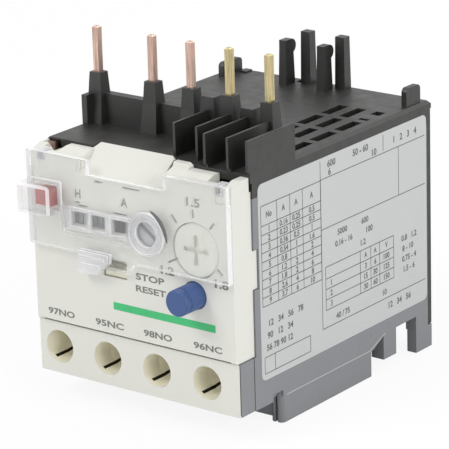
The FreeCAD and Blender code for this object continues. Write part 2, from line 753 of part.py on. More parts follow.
def test_button():
    w, h = test_size
    cap = box(test_x - w / 2, test_x + w / 2, -test_reach, collar_depths[0] + 0.1,
              test_z - h / 2, test_z + h / 2)
    cap = round_edges(cap, 0.3, lambda e: at(e, y=back(-test_reach)))
    ribs = []
    for k in range(4):
        d = -test_reach + 0.55 + k * 0.6
        ribs.append(box(test_x + w / 2 - 0.12, test_x + w, d, d + 0.28, test_z - h, test_z + h))
        ribs.append(box(test_x - w, test_x - w / 2 + 0.12, d, d + 0.28, test_z - h, test_z + h))
    cw, ch = test_collar
    collar = box(test_x - cw / 2, test_x + cw / 2, *collar_depths,
                 test_z - ch / 2, test_z + ch / 2)
    stem = rod(test_x, test_z, test_stem_r, collar_depths[1] - 0.1, test_stem_back)
    return cut(fuse([cap, collar, stem]), ribs)


def adjustment_dial():
    """Setting dial with a cross recess and the spindle behind it."""
    length, width, depth = dial_cross
    disc = rod(dial_x, dial_z, dial_r, *dial_depths)
    disc = bevel_edges(disc, 0.25, lambda e: at(e, y=back(dial_depths[0])))
    spindle = rod(dial_x, dial_z, spindle_r, dial_depths[1] - 0.1, spindle_back)
    tools = []
    for w, h in ((length, width), (width, length)):
        tools.append(box(dial_x - w / 2, dial_x + w / 2, dial_depths[0] - 1, dial_depths[0] + depth,
                         dial_z - h / 2, dial_z + h / 2))
    return cut(fuse([disc, spindle]), tools)


def snail_radius(angle):
    """Cam radius at an angle from straight up, in degrees."""
    return cam_mid_r + cam_rise * angle / dial_turn


def setting_cam():
    """Snail cam: its radius grows evenly over the dial's turn."""
    reach = dial_turn / 2 + 12
    steps = 12
    points = []
    for k in range(steps + 1):
        angle = -reach + 2 * reach * k / steps
        r = snail_radius(angle)
        points.append(V(dial_x + r * math.sin(math.radians(angle)), back(cam_depths[0]),
                        dial_z + r * math.cos(math.radians(angle))))
    curve = Part.BSplineCurve()
    curve.interpolate(points)
    step = Part.LineSegment(points[-1], points[0]).toShape()
    face = Part.Face(Part.Wire([curve.toShape(), step]))
    body = face.extrude(V(0, cam_depths[1] - cam_depths[0], 0))
    return cut(body, [rod(dial_x, dial_z, spindle_r + 0.02, *(cam_depths[0] - 1, cam_depths[1] + 1))])


def pinion_outline():
    """One closed outline of the pinion, its flanks drawn as involutes."""
    pitch_r = pinion_module * pinion_teeth / 2
    base_r = pitch_r * math.cos(math.radians(20))
    tip_r = pitch_r + 0.8 * pinion_module
    root_r = pitch_r - 1.1 * pinion_module
    half_tooth = (math.pi * pinion_module / 2 - tooth_backlash) / 2 / pitch_r
    inv_pitch = math.tan(math.radians(20)) - math.radians(20)

    def flank_angle(r):
        alpha = math.acos(min(1.0, base_r / r))
        return half_tooth + inv_pitch - (math.tan(alpha) - alpha)

    radii = [root_r, base_r, (base_r + tip_r) / 2, tip_r]
    outline = []
    for tooth in range(pinion_teeth):
        middle = 2 * math.pi * tooth / pinion_teeth
        for sign in (-1, 1):
            for r in (radii if sign < 0 else radii[::-1]):
                a = middle + sign * flank_angle(max(r, base_r))
                outline.append((knob_x + r * math.sin(a), knob_z - r * math.cos(a)))
    return outline


def mode_selector_knob():
    """Slotted knob with a pinion that drives the hand and automatic slider."""
    head = rod(knob_x, knob_z, knob_r, knob_face, plate_thick + 0.2)
    head = bevel_edges(head, 0.25, lambda e: at(e, y=back(knob_face)))
    stem = rod(knob_x, knob_z, knob_stem_r, plate_thick, mech_depths[1] + 0.8)
    gear = front_prism(pinion_outline(), *pinion_depths)
    slot = box(knob_x - knob_r, knob_x + knob_r, knob_face - 1, knob_face + 0.9,
               knob_z - knob_slot / 2, knob_z + knob_slot / 2)
    turn = FreeCAD.Rotation(V(0, 1, 0), 35)
    slot.Placement = FreeCAD.Placement(V(0, 0, 0), turn, V(knob_x, 0, knob_z)).multiply(slot.Placement)
    return cut(fuse([head, stem, gear]), [slot])


def mode_slider():
    """Reset mode slider: pads behind the windows and a rack under the knob."""
    pitch_r = pinion_module * pinion_teeth / 2
    pitch_line = knob_z - pitch_r
    d0, d1 = pinion_depths
    pitch = math.pi * pinion_module
    bar_top = pitch_line - 1.1 * pinion_module
    bar_foot = bar_top - 1.2
    body = box(slider_x[0], slider_x[1], plate_thick + slip, d1, bar_foot, window_z[1] - 0.4)
    pad = box(slider_x[0] + 1.0, slider_x[1] - 0.4, slider_depths[0], plate_thick + 0.4,
              window_z[0] - 0.2, window_z[1] - 0.2)
    rack = box(slider_x[1] - 1, knob_x + 3.2, d0, d1, bar_foot, bar_top)
    parts = [body, pad, rack]
    half_gap = tooth_backlash / 2
    slope = math.tan(math.radians(20))
    for k in range(-4, 2):
        x = knob_x + (k + 0.5) * pitch
        w = pitch / 4 - half_gap / 2
        foot = w + slope * (pitch_line - bar_top)
        tip = w - slope * rack_addendum
        parts.append(front_prism([(x - foot, bar_top - 0.1), (x - foot, bar_top),
                                  (x - tip, pitch_line + rack_addendum),
                                  (x + tip, pitch_line + rack_addendum), (x + foot, bar_top),
                                  (x + foot, bar_top - 0.1)], d0, d1))
    ribs = [box(slider_x[0] + 2.2 + k * 1.1, slider_x[0] + 2.6 + k * 1.1, slider_depths[0] - 1,
                slider_depths[0] + 0.25, window_z[0], window_z[1]) for k in range(6)]
    return cut(fuse(parts), ribs)


def trip_flag():
    """Yellow vane that rises behind its window when the relay trips."""
    x0, x1 = flag_window_x
    top = flag_window_z[1] - flag_travel
    vane = box(x0 + 0.2, x1 + 1.2, plate_thick + slip, plate_thick + 1.0, flag_window_z[0] - 3.6, top)
    tail = box(x0 + 2.2, x0 + 4.0, plate_thick + slip, mech_depths[0] - 0.4,
               flag_window_z[0] - 3.6, flag_window_z[0] - 2.4)
    return fuse([vane, tail])


def coil_spring(x, z, radius, d0, d1, turns):
    """Compression spring along Y, drawn as a chain of short straight lengths."""
    sides = 8
    w = spring_wire / 2
    run = d1 - d0 - spring_wire
    count = turns * sides
    rings = []
    for k in range(count + 1):
        a = 2 * math.pi * k / sides
        d = d0 + w + run * k / count
        corners = [(radius + i, d + j) for i, j in ((-w, -w), (w, -w), (w, w), (-w, w))]
        ring = [V(x + r * math.sin(a), back(y), z + r * math.cos(a)) for r, y in corners]
        rings.append(ring)
    faces = [closed_face(rings[0]), closed_face(rings[-1])]
    for near, far in zip(rings, rings[1:]):
        for i in range(4):
            j = (i + 1) % 4
            faces.append(closed_face([near[i], near[j], far[j]]))
            faces.append(closed_face([near[i], far[j], far[i]]))
    return Part.makeSolid(Part.makeShell(faces))


# ---- mechanism plate -------------------------------------------------------
def mechanism_plate():
    """Grey partition that guides the spindle, the stems and the knob."""
    inner = half - wall - seat
    plate = box(-inner, inner, *mech_depths, mech_foot_z, mech_top_z)
    ledge = box(-inner, inner, mech_depths[0], mech_depths[1] + 2.0, mech_top_z - 1.2, mech_top_z)
    pivot = rod(trip_pivot_x, trip_pivot_z, 1.0, mech_depths[1] - 0.1, trip_lever_depths[1] + 0.6)
    hub = rod(adjust_pivot()[0], adjust_pivot()[1], 1.0, mech_depths[1] - 0.1, cam_depths[1] + 0.5)
    d0, d1 = mech_depths[0] - 1, mech_depths[1] + 1
    tools = [rod(stop_x, stop_z, stem_r + running, d0, d1),
             rod(test_x, test_z, test_stem_r + running, d0, d1),
             rod(dial_x, dial_z, spindle_r + running, d0, d1),
             rod(knob_x, knob_z, knob_stem_r + running, d0, d1),
             box(1.9 - inner, 7.4 - inner, d0, d1, mech_foot_z + 0.9, test_z - 4.5)]
    rails = [box(carrier_x[0] - 0.1 - 1.0, carrier_x[0] - 0.1, mech_depths[1] - 0.1, 13.4, 17.6, 26.0),
             box(carrier_x[1] + 0.1, carrier_x[1] + 0.1 + 1.0, mech_depths[1] - 0.1, 13.4, 17.6, 26.0)]
    return cut(fuse([plate, ledge, pivot, hub] + rails), tools)


def adjust_pivot():
    """X and Z of the adjusting lever's pivot."""
    return dial_x - lever_arm, dial_z + cam_mid_r + lever_rise


def adjusting_lever():
    """Lever whose nose rides on the snail cam."""
    px, pz = adjust_pivot()
    d0, d1 = cam_depths[0] + 0.2, cam_depths[1] - 0.2
    nose_z = dial_z + cam_mid_r + slip + 0.6
    hub = rod(px, pz, 2.0, d0, d1)
    arm = front_prism([(px, pz - 1.2), (dial_x, nose_z), (dial_x, nose_z + 1.4), (px, pz + 1.6)],
                      d0, d1)
    nose = rod(dial_x, nose_z, 0.6, d0, d1)
    return cut(fuse([hub, arm, nose]), [rod(px, pz, 1.0 + running, d0 - 1, d1 + 1)])


# ---- current path ----------------------------------------------------------
def pin_bar(x, foot_z):
    """Square plug-in pin with a bevelled tip."""
    s = pin_side / 2
    bar = box(x - s, x + s, pin_row - s, pin_row + s, foot_z, pin_tip_z)
    return bevel_edges(bar, 0.2, lambda e: at(e, z=pin_tip_z))


def power_strip(i):
    """Copper strip from the foot of one phase's pin to the top of its heater."""
    x = pins_x[i]
    target = phase_x(i)
    w = strip_width / 2
    shift = w - 0.3 if i == 0 else 0.0
    lane = x + shift
    turn = bimetal_depth - (5.4 if i == 2 else 0.0)
    z0, z1 = strip_z, strip_z + strip_thick
    parts = [box(lane - w, lane + w, pin_row - w, turn + w, z0, z1)]
    lo, hi = sorted((lane, target))
    parts.append(box(lo - w, hi + w, turn - w, turn + w, z0, z1))
    drop = bimetal_depth + heater_half[1] + heater_ribbon[0] / 2 + 0.05
    parts.append(box(target - w, target + w, turn, drop + strip_thick, z0, z1))
    parts.append(box(target - w, target + w, drop, drop + strip_thick, heater_top_z() - 2.4, z1))
    if i == 0:
        parts.append(box(x - 0.3, x + 1.2, deck_front + 0.2, pin_row, z0, z1))
        parts.append(box(x - 1.0, x + 0.5, *strip_end_depths, flank_top_z + seat, deck_z - 0.6))
    return fuse(parts)


def heater_top_z():
    return heater_foot_z + heater_turns * heater_pitch


def heater_coil(x):
    """Resistance ribbon wound round a bimetal strip, one beam per side."""
    hx, hy = heater_half
    t, h = heater_ribbon
    corners = [(hx, -hy), (hx, hy), (-hx, hy), (-hx, -hy)]
    rise = heater_pitch / 4
    beams = []
    for k in range(heater_turns * 4):
        (ax, ay), (bx, by) = corners[k % 4], corners[(k + 1) % 4]
        z = heater_foot_z + k * rise
        x0, x1 = sorted((ax, bx))
        y0, y1 = sorted((ay, by))
        low = z - h / 2 + (0 if k else 0.0)
        beams.append(box(x + x0 - t / 2, x + x1 + t / 2, bimetal_depth + y0 - t / 2,
                         bimetal_depth + y1 + t / 2, low + rise / 2, low + rise / 2 + h - rise))
    risers = []
    for k in range(heater_turns * 4 - 1):
        bx, by = corners[(k + 1) % 4]
        z = heater_foot_z + k * rise - h / 2 + rise / 2
        risers.append(box(x + bx - t / 2, x + bx + t / 2, bimetal_depth + by - t / 2,
                          bimetal_depth + by + t / 2, z, z + h))
    return fuse(beams + risers)


def bimetal_strip(x):
    """Bimetal strip of two bonded layers, with a notched free end."""
    w = bimetal_width / 2
    strip = box(x - bimetal_thick / 2, x + bimetal_thick / 2, bimetal_depth - w, bimetal_depth + w,
                bimetal_foot_z, bimetal_top_z)
    notch = box(x - 1, x + 1, bimetal_depth + w - 1.4, bimetal_depth + w + 1, bimetal_top_z - 5,
                bimetal_top_z + 1)
    return cut(strip, [notch])


def power_terminal(x):
    """Terminal plate in its chamber with the riser that carries the bimetal."""
    w = chamber_half - 0.6
    plate = box(x - w, x + w, chamber_depths[0] + 0.6, chamber_depths[1] - 0.1,
                chamber_roof_z - 1.3, chamber_roof_z - 0.1)
    riser = box(x - 2.4, x + 2.4, chamber_depths[1] - 1.2, chamber_depths[1] - 0.1,
                chamber_roof_z - 0.5, block_roof_z + 0.9)
    shelf = box(x - 2.4, x + 2.4, chamber_depths[1] - 1.2, bimetal_depth + 2.6,
                block_roof_z + 0.1, block_roof_z + 1.1)
    weld = heater_half[0] - heater_ribbon[0] / 2 - 0.02
    cheek = box(x + bimetal_thick / 2, x + weld, bimetal_depth - 2.5, bimetal_depth + 2.5,
                block_roof_z + 0.1, heater_foot_z + 0.9)
    hole = post(x, power_screw_depth, 1.85, chamber_roof_z - 2, chamber_roof_z + 1)
    return cut(fuse([plate, riser, shelf, cheek]), [hole])


def power_screw(x):
    """Pan-head terminal screw, driven from underneath."""
    head = post(x, power_screw_depth, 2.8, chamber_floor_z + 0.5, chamber_floor_z + 2.5)
    shank = post(x, power_screw_depth, 1.75, chamber_floor_z + 2.4, block_roof_z + 1.6)
    recess = [box(x - 2.0, x + 2.0, power_screw_depth - 0.4, power_screw_depth + 0.4,
                  chamber_floor_z, chamber_floor_z + 1.5),
              box(x - 0.4, x + 0.4, power_screw_depth - 2.0, power_screw_depth + 2.0,
                  chamber_floor_z, chamber_floor_z + 1.5)]
    return cut(fuse([head, shank]), recess)


def power_clamp(x):
    """Square saddle washer between the screw head and the terminal plate."""
    w = chamber_half - 0.7
    saddle = box(x - w, x + w, power_screw_depth - 3.6, power_screw_depth + 3.2,
                 chamber_floor_z + 2.6, chamber_floor_z + 3.5)
    lip = box(x - w, x + w, power_screw_depth - 3.6, power_screw_depth - 2.8,
              chamber_floor_z + 3.4, chamber_floor_z + 4.3)
    return cut(fuse([saddle, lip]), [post(x, power_screw_depth, 1.85, 0, 20)])


def aux_screw(x):
    """Auxiliary terminal screw at the bottom of its funnel."""
    head = rod(x, aux_screw_z, 2.2, funnel_depth - 0.2, 8.3)
    shank = rod(x, aux_screw_z, 1.35, 8.2, aux_block_back - 0.2)
    recess = [box(x - 1.6, x + 1.6, funnel_depth - 1, funnel_depth + 0.7, aux_screw_z - 0.35,
                  aux_screw_z + 0.35),
              box(x - 0.35, x + 0.35, funnel_depth - 1, funnel_depth + 0.7, aux_screw_z - 1.6,
                  aux_screw_z + 1.6)]
    return cut(fuse([head, shank]), recess)


def aux_clamp(x):
    saddle = box(x - 2.7, x + 2.7, 8.6, 9.3, aux_screw_z - 2.6, aux_screw_z + 2.6)
    return cut(saddle, [rod(x, aux_screw_z, 1.45, 8, 10)])


# ---- auxiliary contacts ----------------------------------------------------
def contact_strip(x, bridge, end_x, tip_up):
    """Terminal strip from one auxiliary screw up to its fixed contact."""
    z, depth = bridge
    d0 = aux_block_back - 1.6
    plate = box(x - 2.7, x + 2.7, d0, d0 + 0.8, aux_screw_z - 2.6, aux_top_z + 1.6)
    plate = cut(plate, [rod(x, aux_screw_z, 1.45, d0 - 1, d0 + 2)])
    lip_z = aux_top_z + 0.8
    far = depth + bridge_width / 2
    shelf = box(x - 1.2, x + 1.2, d0, far + 1.0, lip_z, lip_z + 0.8)
    lo, hi = sorted((x, end_x))
    if tip_up:
        face_z = z - contact_gap_of(bridge)
        arm_z = face_z - contact_thick - 0.8
    else:
        face_z = z + bridge_thick + contact_gap_of(bridge)
        arm_z = face_z + contact_thick
    mast = box(x - 1.2, x + 1.2, far + 0.2, far + 1.0, lip_z, arm_z + 0.8)
    arm = box(lo - 1.2, hi + 1.2, depth - bridge_width / 2, far + 1.0, arm_z, arm_z + 0.8)
    button_z = face_z - contact_thick if tip_up else face_z
    button = post(end_x, depth, contact_r, button_z - 0.05 * (1 if tip_up else 0),
                  button_z + contact_thick + 0.05 * (0 if tip_up else 1))
    return fuse([plate, shelf, mast, arm, button])


def contact_gap_of(bridge):
    """Gap at rest: open for the lower bridge, touching for the upper one."""
    return contact_thick + (contact_gap if bridge is no_bridge else closed_gap)


def moving_bridge(bridge, x0, x1, tips_up):
    """Moving contact bridge with a contact button at each end."""
    z, depth = bridge
    strip = box(x0 - 1.1, x1 + 1.1, depth - bridge_width / 2, depth + bridge_width / 2,
                z, z + bridge_thick)
    parts = [strip]
    for x in (x0, x1):
        if tips_up:
            parts.append(post(x, depth, contact_r, z + bridge_thick - 0.05,
                              z + bridge_thick + contact_thick))
        else:
            parts.append(post(x, depth, contact_r, z - contact_thick, z + 0.05))
    return fuse(parts)


def contact_carrier():
    """Sliding carrier that moves both contact bridges down on a trip."""
    body = box(*carrier_x, *carrier_depths, *carrier_z)
    tools = []
    for z, depth in (no_bridge, nc_bridge):
        tools.append(box(carrier_x[0] - 1, carrier_x[1] + 1, depth - bridge_width / 2 - seat,
                         depth + bridge_width / 2 + seat, z - seat, z + bridge_thick + 1.2))
    return cut(body, tools)


# ---- trip train ------------------------------------------------------------
def slide_bar(z, side, gap):
    """Slide across the three bimetals, with one finger beside each of them."""
    d0, d1 = slide_depths
    bar = box(slide_x[0], slide_x[1], d0, d1, z, z + slide_thick)
    fingers = []
    for i in range(phase_count):
        x = phase_x(i) + side * (bimetal_thick / 2 + gap + 0.5)
        fingers.append(box(x - 0.5, x + 0.5, d0, bimetal_depth + 0.6, z, z + slide_thick))
    return fuse([bar] + fingers)


def trip_slide():
    """Slide that the bending strips push, with the nose that trips the relay."""
    bar = slide_bar(trip_slide_z, 1, finger_gap)
    x = trip_pivot_x + 0.75 - 0.3 - 1.6
    nose = box(x, x + 1.6, trip_lever_depths[0], slide_depths[1], trip_slide_z,
               trip_slide_z + slide_thick)
    pin = rod(differential_x, trip_slide_z + slide_thick / 2, 0.5, slide_depths[0] - 2.2,
              slide_depths[0] + 0.1)
    return fuse([bar, nose, pin])


def return_slide():
    """Second slide of the phase-failure differential."""
    pin = rod(differential_x, return_slide_z + slide_thick / 2, 0.5, slide_depths[0] - 2.2,
              slide_depths[0] + 0.1)
    return fuse([slide_bar(return_slide_z, -1, return_gap), pin])


def differential_lever():
    """Link between the two slides, pivoted on the pin of the trip slide."""
    x = differential_x
    z0, z1 = return_slide_z + slide_thick / 2, trip_slide_z + slide_thick / 2
    d0, d1 = slide_depths[0] - 2.0, slide_depths[0] - slip
    plate = box(x - 1.3, x + 1.3, d0, d1, z0 - 1.3, z1 + 1.3)
    plate = round_edges(plate, 1.2, lambda e: runs_along(e, 1))
    slot = box(x - 0.62, x + 0.62, d0 - 1, d1 + 1, z0 - 0.9, z0 + 0.9)
    return cut(plate, [rod(x, z1, 0.5 + running, d0 - 1, d1 + 1), slot])


def trip_lever():
    """Bell crank: pushed at the top, it presses the contact carrier down."""
    x, z = trip_pivot_x, trip_pivot_z
    d0, d1 = trip_lever_depths
    end = sum(carrier_x) / 2
    hub = rod(x, z, 1.9, d0, d1)
    arm = front_prism([(x - 1.0, z), (x + 0.7, z), (x + 0.7, z + 4.6), (x - 0.7, z + 4.6)], d0, d1)
    tail = front_prism([(x, z - 1.0), (x, z + 1.4), (end + 0.4, carrier_z[1] + 1.5),
                        (end + 0.4, carrier_z[1] + 0.3), (end - 0.4, carrier_z[1] + 0.3),
                        (end - 1.4, carrier_z[1] + 0.8)], d0, d1)
    return cut(fuse([hub, arm, tail]), [rod(x, z, 1.0 + running, d0 - 1, d1 + 1)])


def compensating_bimetal():
    """Strip on the trip lever that cancels the effect of room temperature."""
    x, z = trip_pivot_x, trip_pivot_z
    d0, d1 = trip_lever_depths
    return box(x + 0.72, x + 1.42, d0, d1, z + 2.4, trip_slide_z + slide_thick + 0.4)


def rating_label():
    x0 = half - label_thick
    label = box(x0, half - 0.01, label_depths[0] + 0.05, label_depths[1] - 0.05,
                label_z[0] + 0.05, label_z[1] - 0.05)
    return round_edges(label, label_corner, lambda e: runs_along(e, 0))


# ---- build -----------------------------------------------------------------
def build():
    os.makedirs("parts", exist_ok=True)
    save("base_housing", base_housing())
    save("terminal_carrier", terminal_carrier())
    save("aux_terminal_block", aux_terminal_block())
    save("top_cover", top_cover())
    save("front_cover", front_cover())
    save("clear_cover", clear_cover())
    save("rating_label", rating_label())
    save("mechanism_plate", mechanism_plate())
    save("stop_reset_button", stop_reset_button())
    save("reset_spring", coil_spring(stop_x, stop_z, reset_spring_r, collar_depths[1],
                                     mech_depths[0], 5))
    save("test_button", test_button())
    save("test_spring", coil_spring(test_x, test_z, test_spring_r, collar_depths[1],
                                    mech_depths[0], 6))
    save("adjustment_dial", adjustment_dial())
    save("setting_cam", setting_cam())
    save("adjusting_lever", adjusting_lever())
    save("mode_selector_knob", mode_selector_knob())
    save("mode_slider", mode_slider())
    save("trip_flag", trip_flag())
    for i in range(phase_count):
        n = str(i + 1)
        save("power_pin_" + n, pin_bar(pins_x[i], strip_z + strip_thick))
        save("power_strip_" + n, power_strip(i))
        save("bimetal_strip_" + n, bimetal_strip(phase_x(i)))
        save("heater_coil_" + n, heater_coil(phase_x(i)))
        save("power_terminal_" + n, power_terminal(phase_x(i)))
    save("control_pin_1", pin_bar(pins_x[3], seam_z))
    save("control_pin_2", pin_bar(pins_x[4], seam_z))
    group = Part.makeCompound
    save("power_terminal_screws", group([power_screw(phase_x(i)) for i in range(phase_count)]))
    save("power_clamps", group([power_clamp(phase_x(i)) for i in range(phase_count)]))
    save("aux_terminal_screws", group([aux_screw(aux_x(i)) for i in range(aux_count)]))
    save("aux_clamps", group([aux_clamp(aux_x(i)) for i in range(aux_count)]))
    save("contact_strip_97", contact_strip(aux_x(0), no_bridge, aux_x(0), True))
    save("contact_strip_95", contact_strip(aux_x(1), nc_bridge, aux_x(1), False))
    save("contact_strip_98", contact_strip(aux_x(2), no_bridge, aux_x(2), True))
    save("contact_strip_96", contact_strip(aux_x(3), nc_bridge, aux_x(3), False))
    save("no_contact_bridge", moving_bridge(no_bridge, aux_x(0), aux_x(2), False))
    save("nc_contact_bridge", moving_bridge(nc_bridge, aux_x(1), aux_x(3), True))
    save("contact_carrier", contact_carrier())
    save("trip_slide", trip_slide())
    save("return_slide", return_slide())
    save("differential_lever", differential_lever())
    save("trip_lever", trip_lever())
    save("compensating_bimetal", compensating_bimetal())


build()
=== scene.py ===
"""Looks of the thermal overload relay: plastics, metals, printing, label, light and camera.

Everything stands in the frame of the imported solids, in metres.  Lengths given to mm(),
here(), block(), slab() and the print planes are millimetres on the real relay.
"""
import math

import bmesh
import bpy
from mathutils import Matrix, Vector


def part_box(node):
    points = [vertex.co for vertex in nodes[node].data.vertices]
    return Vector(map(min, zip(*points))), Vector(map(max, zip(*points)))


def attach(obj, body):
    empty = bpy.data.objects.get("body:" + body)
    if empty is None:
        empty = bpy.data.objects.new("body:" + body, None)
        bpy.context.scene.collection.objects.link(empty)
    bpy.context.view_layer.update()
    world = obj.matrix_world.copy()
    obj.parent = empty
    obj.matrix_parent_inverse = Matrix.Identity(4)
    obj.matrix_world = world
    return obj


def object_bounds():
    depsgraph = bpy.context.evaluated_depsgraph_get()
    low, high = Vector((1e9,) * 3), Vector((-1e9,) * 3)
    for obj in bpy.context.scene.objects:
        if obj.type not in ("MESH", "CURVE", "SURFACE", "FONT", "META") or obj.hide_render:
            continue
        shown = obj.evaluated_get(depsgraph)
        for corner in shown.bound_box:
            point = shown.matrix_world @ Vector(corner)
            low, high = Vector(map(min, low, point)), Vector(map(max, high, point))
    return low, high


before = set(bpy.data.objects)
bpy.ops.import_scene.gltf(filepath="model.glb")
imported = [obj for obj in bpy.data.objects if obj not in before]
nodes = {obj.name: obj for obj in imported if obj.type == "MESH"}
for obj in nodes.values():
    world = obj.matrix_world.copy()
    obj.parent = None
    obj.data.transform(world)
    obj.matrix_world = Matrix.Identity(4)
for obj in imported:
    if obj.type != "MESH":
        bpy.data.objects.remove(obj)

cad_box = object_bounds()


def mm(value):
    return value * 0.001


def in_mm(value):
    return value * 1000


# ---- materials -------------------------------------------------------------
def srgb(r, g, b):
    """Linear colour of an 8-bit display colour."""
    def lin(v):
        v /= 255.0
        return v / 12.92 if v <= 0.04045 else ((v + 0.055) / 1.055) ** 2.4
    return lin(r), lin(g), lin(b), 1.0


NOISE_LOW, NOISE_HIGH = 0.3, 0.7      # where nearly all of Blender's noise values lie


class Look:
    """One procedural material: a Principled shader with noise in colour, roughness and bump."""

    def __init__(self, name):
        self.mat = bpy.data.materials.new(name)
        self.mat.use_nodes = True
        self.tree = self.mat.node_tree
        self.shader = self.tree.nodes["Principled BSDF"]
        self.where = self.tree.nodes.new("ShaderNodeTexCoord").outputs["Object"]

    def set(self, **values):
        for key, value in values.items():
            self.shader.inputs[key.replace("_", " ")].default_value = value

    def link(self, a, b):
        self.tree.links.new(a, b)

    def noise(self, size, detail=3.0, stretch=(1, 1, 1), rough=0.55):
        """Noise whose features are about this many millimetres across."""
        place = self.tree.nodes.new("ShaderNodeMapping")
        place.inputs["Scale"].default_value = stretch
        tex = self.tree.nodes.new("ShaderNodeTexNoise")
        tex.inputs["Scale"].default_value = 1000.0 / size
        tex.inputs["Detail"].default_value = detail
        tex.inputs["Roughness"].default_value = rough
        self.link(self.where, place.inputs["Vector"])
        self.link(place.outputs["Vector"], tex.inputs["Vector"])
        return tex.outputs["Fac"]

    def remap(self, value, from_min, from_max, to_min=0.0, to_max=1.0):
        node = self.tree.nodes.new("ShaderNodeMapRange")
        node.inputs["From Min"].default_value = from_min
        node.inputs["From Max"].default_value = from_max
        node.inputs["To Min"].default_value = to_min
        node.inputs["To Max"].default_value = to_max
        self.link(value, node.inputs["Value"])
        return node.outputs["Result"]

    def span(self, fac, low, high):
        """Noise stretched to a whole range."""
        return self.remap(fac, NOISE_LOW, NOISE_HIGH, low, high)

    def join(self, kind, a, b):
        node = self.tree.nodes.new("ShaderNodeMath")
        node.operation = kind
        self.link(a, node.inputs[0])
        self.link(b, node.inputs[1])
        return node.outputs[0]

    def split(self, vector):
        node = self.tree.nodes.new("ShaderNodeSeparateXYZ")
        self.link(vector, node.inputs["Vector"])
        return node.outputs

    def colour(self, fac, a, b):
        node = self.tree.nodes.new("ShaderNodeMix")
        node.data_type = "RGBA"
        node.inputs["A"].default_value = a
        node.inputs["B"].default_value = b
        self.link(fac, node.inputs["Factor"])
        self.link(node.outputs["Result"], self.shader.inputs["Base Color"])

    def rough(self, fac, low, high):
        self.link(self.span(fac, low, high), self.shader.inputs["Roughness"])

    def bump(self, fac, depth, strength=1.0):
        """Bump of this many millimetres."""
        node = self.tree.nodes.new("ShaderNodeBump")
        node.inputs["Strength"].default_value = strength
        node.inputs["Distance"].default_value = mm(depth)
        self.link(fac, node.inputs["Height"])
        last = self.shader.inputs["Normal"]
        if last.is_linked:
            self.link(last.links[0].from_socket, node.inputs["Normal"])
        self.link(node.outputs["Normal"], last)


def shade(rgb, factor):
    return tuple(min(1.0, v * factor) for v in rgb[:3]) + (1.0,)


def moulded(name, rgb, rough=0.45, grain=0.22, depth=0.010, spread=0.04, spec=0.45, patch=9.0):
    """Injection-moulded plastic: fine grain, slow change of shade and of gloss."""
    look = Look(name)
    base = srgb(*rgb)
    look.colour(look.noise(patch, 4), shade(base, 1 - spread), shade(base, 1 + spread))
    look.rough(look.noise(2.4, 5), rough - 0.06, rough + 0.08)
    look.bump(look.noise(grain, 2), depth, 0.5)
    look.bump(look.noise(12.0, 1), 0.03, 0.25)
    look.set(Specular_IOR_Level=spec)
    return look


def metal(name, rgb, rough=0.3, drawn=(1, 1, 0.06), spread=0.08, depth=0.006):
    """Drawn or stamped metal, with fine marks along one direction and a slight tarnish."""
    look = Look(name)
    base = srgb(*rgb)
    marks = look.span(look.noise(0.30, 3, drawn), 0, 1)
    look.colour(marks, shade(base, 1 - spread), shade(base, 1 + spread * 0.6))
    look.rough(look.noise(0.35, 4, drawn), rough - 0.08, rough + 0.12)
    look.bump(look.noise(0.22, 3, drawn), depth, 0.6)
    look.set(Metallic=1.0)
    return look


def ink(name, rgb):
    """Printed ink: slightly uneven cover over the surface."""
    look = Look(name)
    base = srgb(*rgb)
    look.colour(look.noise(0.5, 4), shade(base, 0.9), shade(base, 1.12))
    look.rough(look.noise(0.3, 2), 0.45, 0.62)
    look.bump(look.noise(0.18, 2), 0.003, 0.4)
    return look


SHEET_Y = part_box("front_cover")[0].y - mm(1.35)    # outer face of the clear sheet
EDGE_BAND = mm(0.25), mm(0.05)        # how far ahead of that face a cut side begins and ends


def see_through(name, face_alpha, edge_alpha, face_clear, edge_clear, face_rgb, edge_highlight_rgb):
    """Clear plastic that shows what is behind it undistorted, with bright rounded edges.

    An edge is where the surface turns away from the sheet, or the sheet's own cut side. Its whiter
    colour and lower transmission are a painted highlight.
    """
    look = Look(name)
    normal = look.tree.nodes.new("ShaderNodeTexCoord").outputs["Normal"]
    flat = look.tree.nodes.new("ShaderNodeMath")
    flat.operation = "ABSOLUTE"
    look.link(look.split(normal)["Y"], flat.inputs[0])
    turned = look.remap(flat.outputs[0], 0.97, 0.88)
    not_square = look.remap(flat.outputs[0], 0.04, 0.16)
    near = look.remap(look.split(look.where)["Y"], SHEET_Y - EDGE_BAND[0], SHEET_Y - EDGE_BAND[1])
    rim_highlight = look.join("MULTIPLY", turned, look.join("MAXIMUM", not_square, near))
    # painted highlight: whiter colour, more alpha and less transmission on the edges
    look.colour(rim_highlight, face_rgb + (1,), edge_highlight_rgb + (1,))
    for key, face, edge in (("Alpha", face_alpha, edge_alpha),
                            ("Transmission Weight", face_clear, edge_clear)):
        look.link(look.remap(rim_highlight, 0, 1, face, edge), look.shader.inputs[key])
    look.rough(look.noise(1.6, 4), 0.03, 0.09)
    look.bump(look.noise(6.0, 2), 0.006, 0.3)
    look.set(IOR=1.46)
    return look


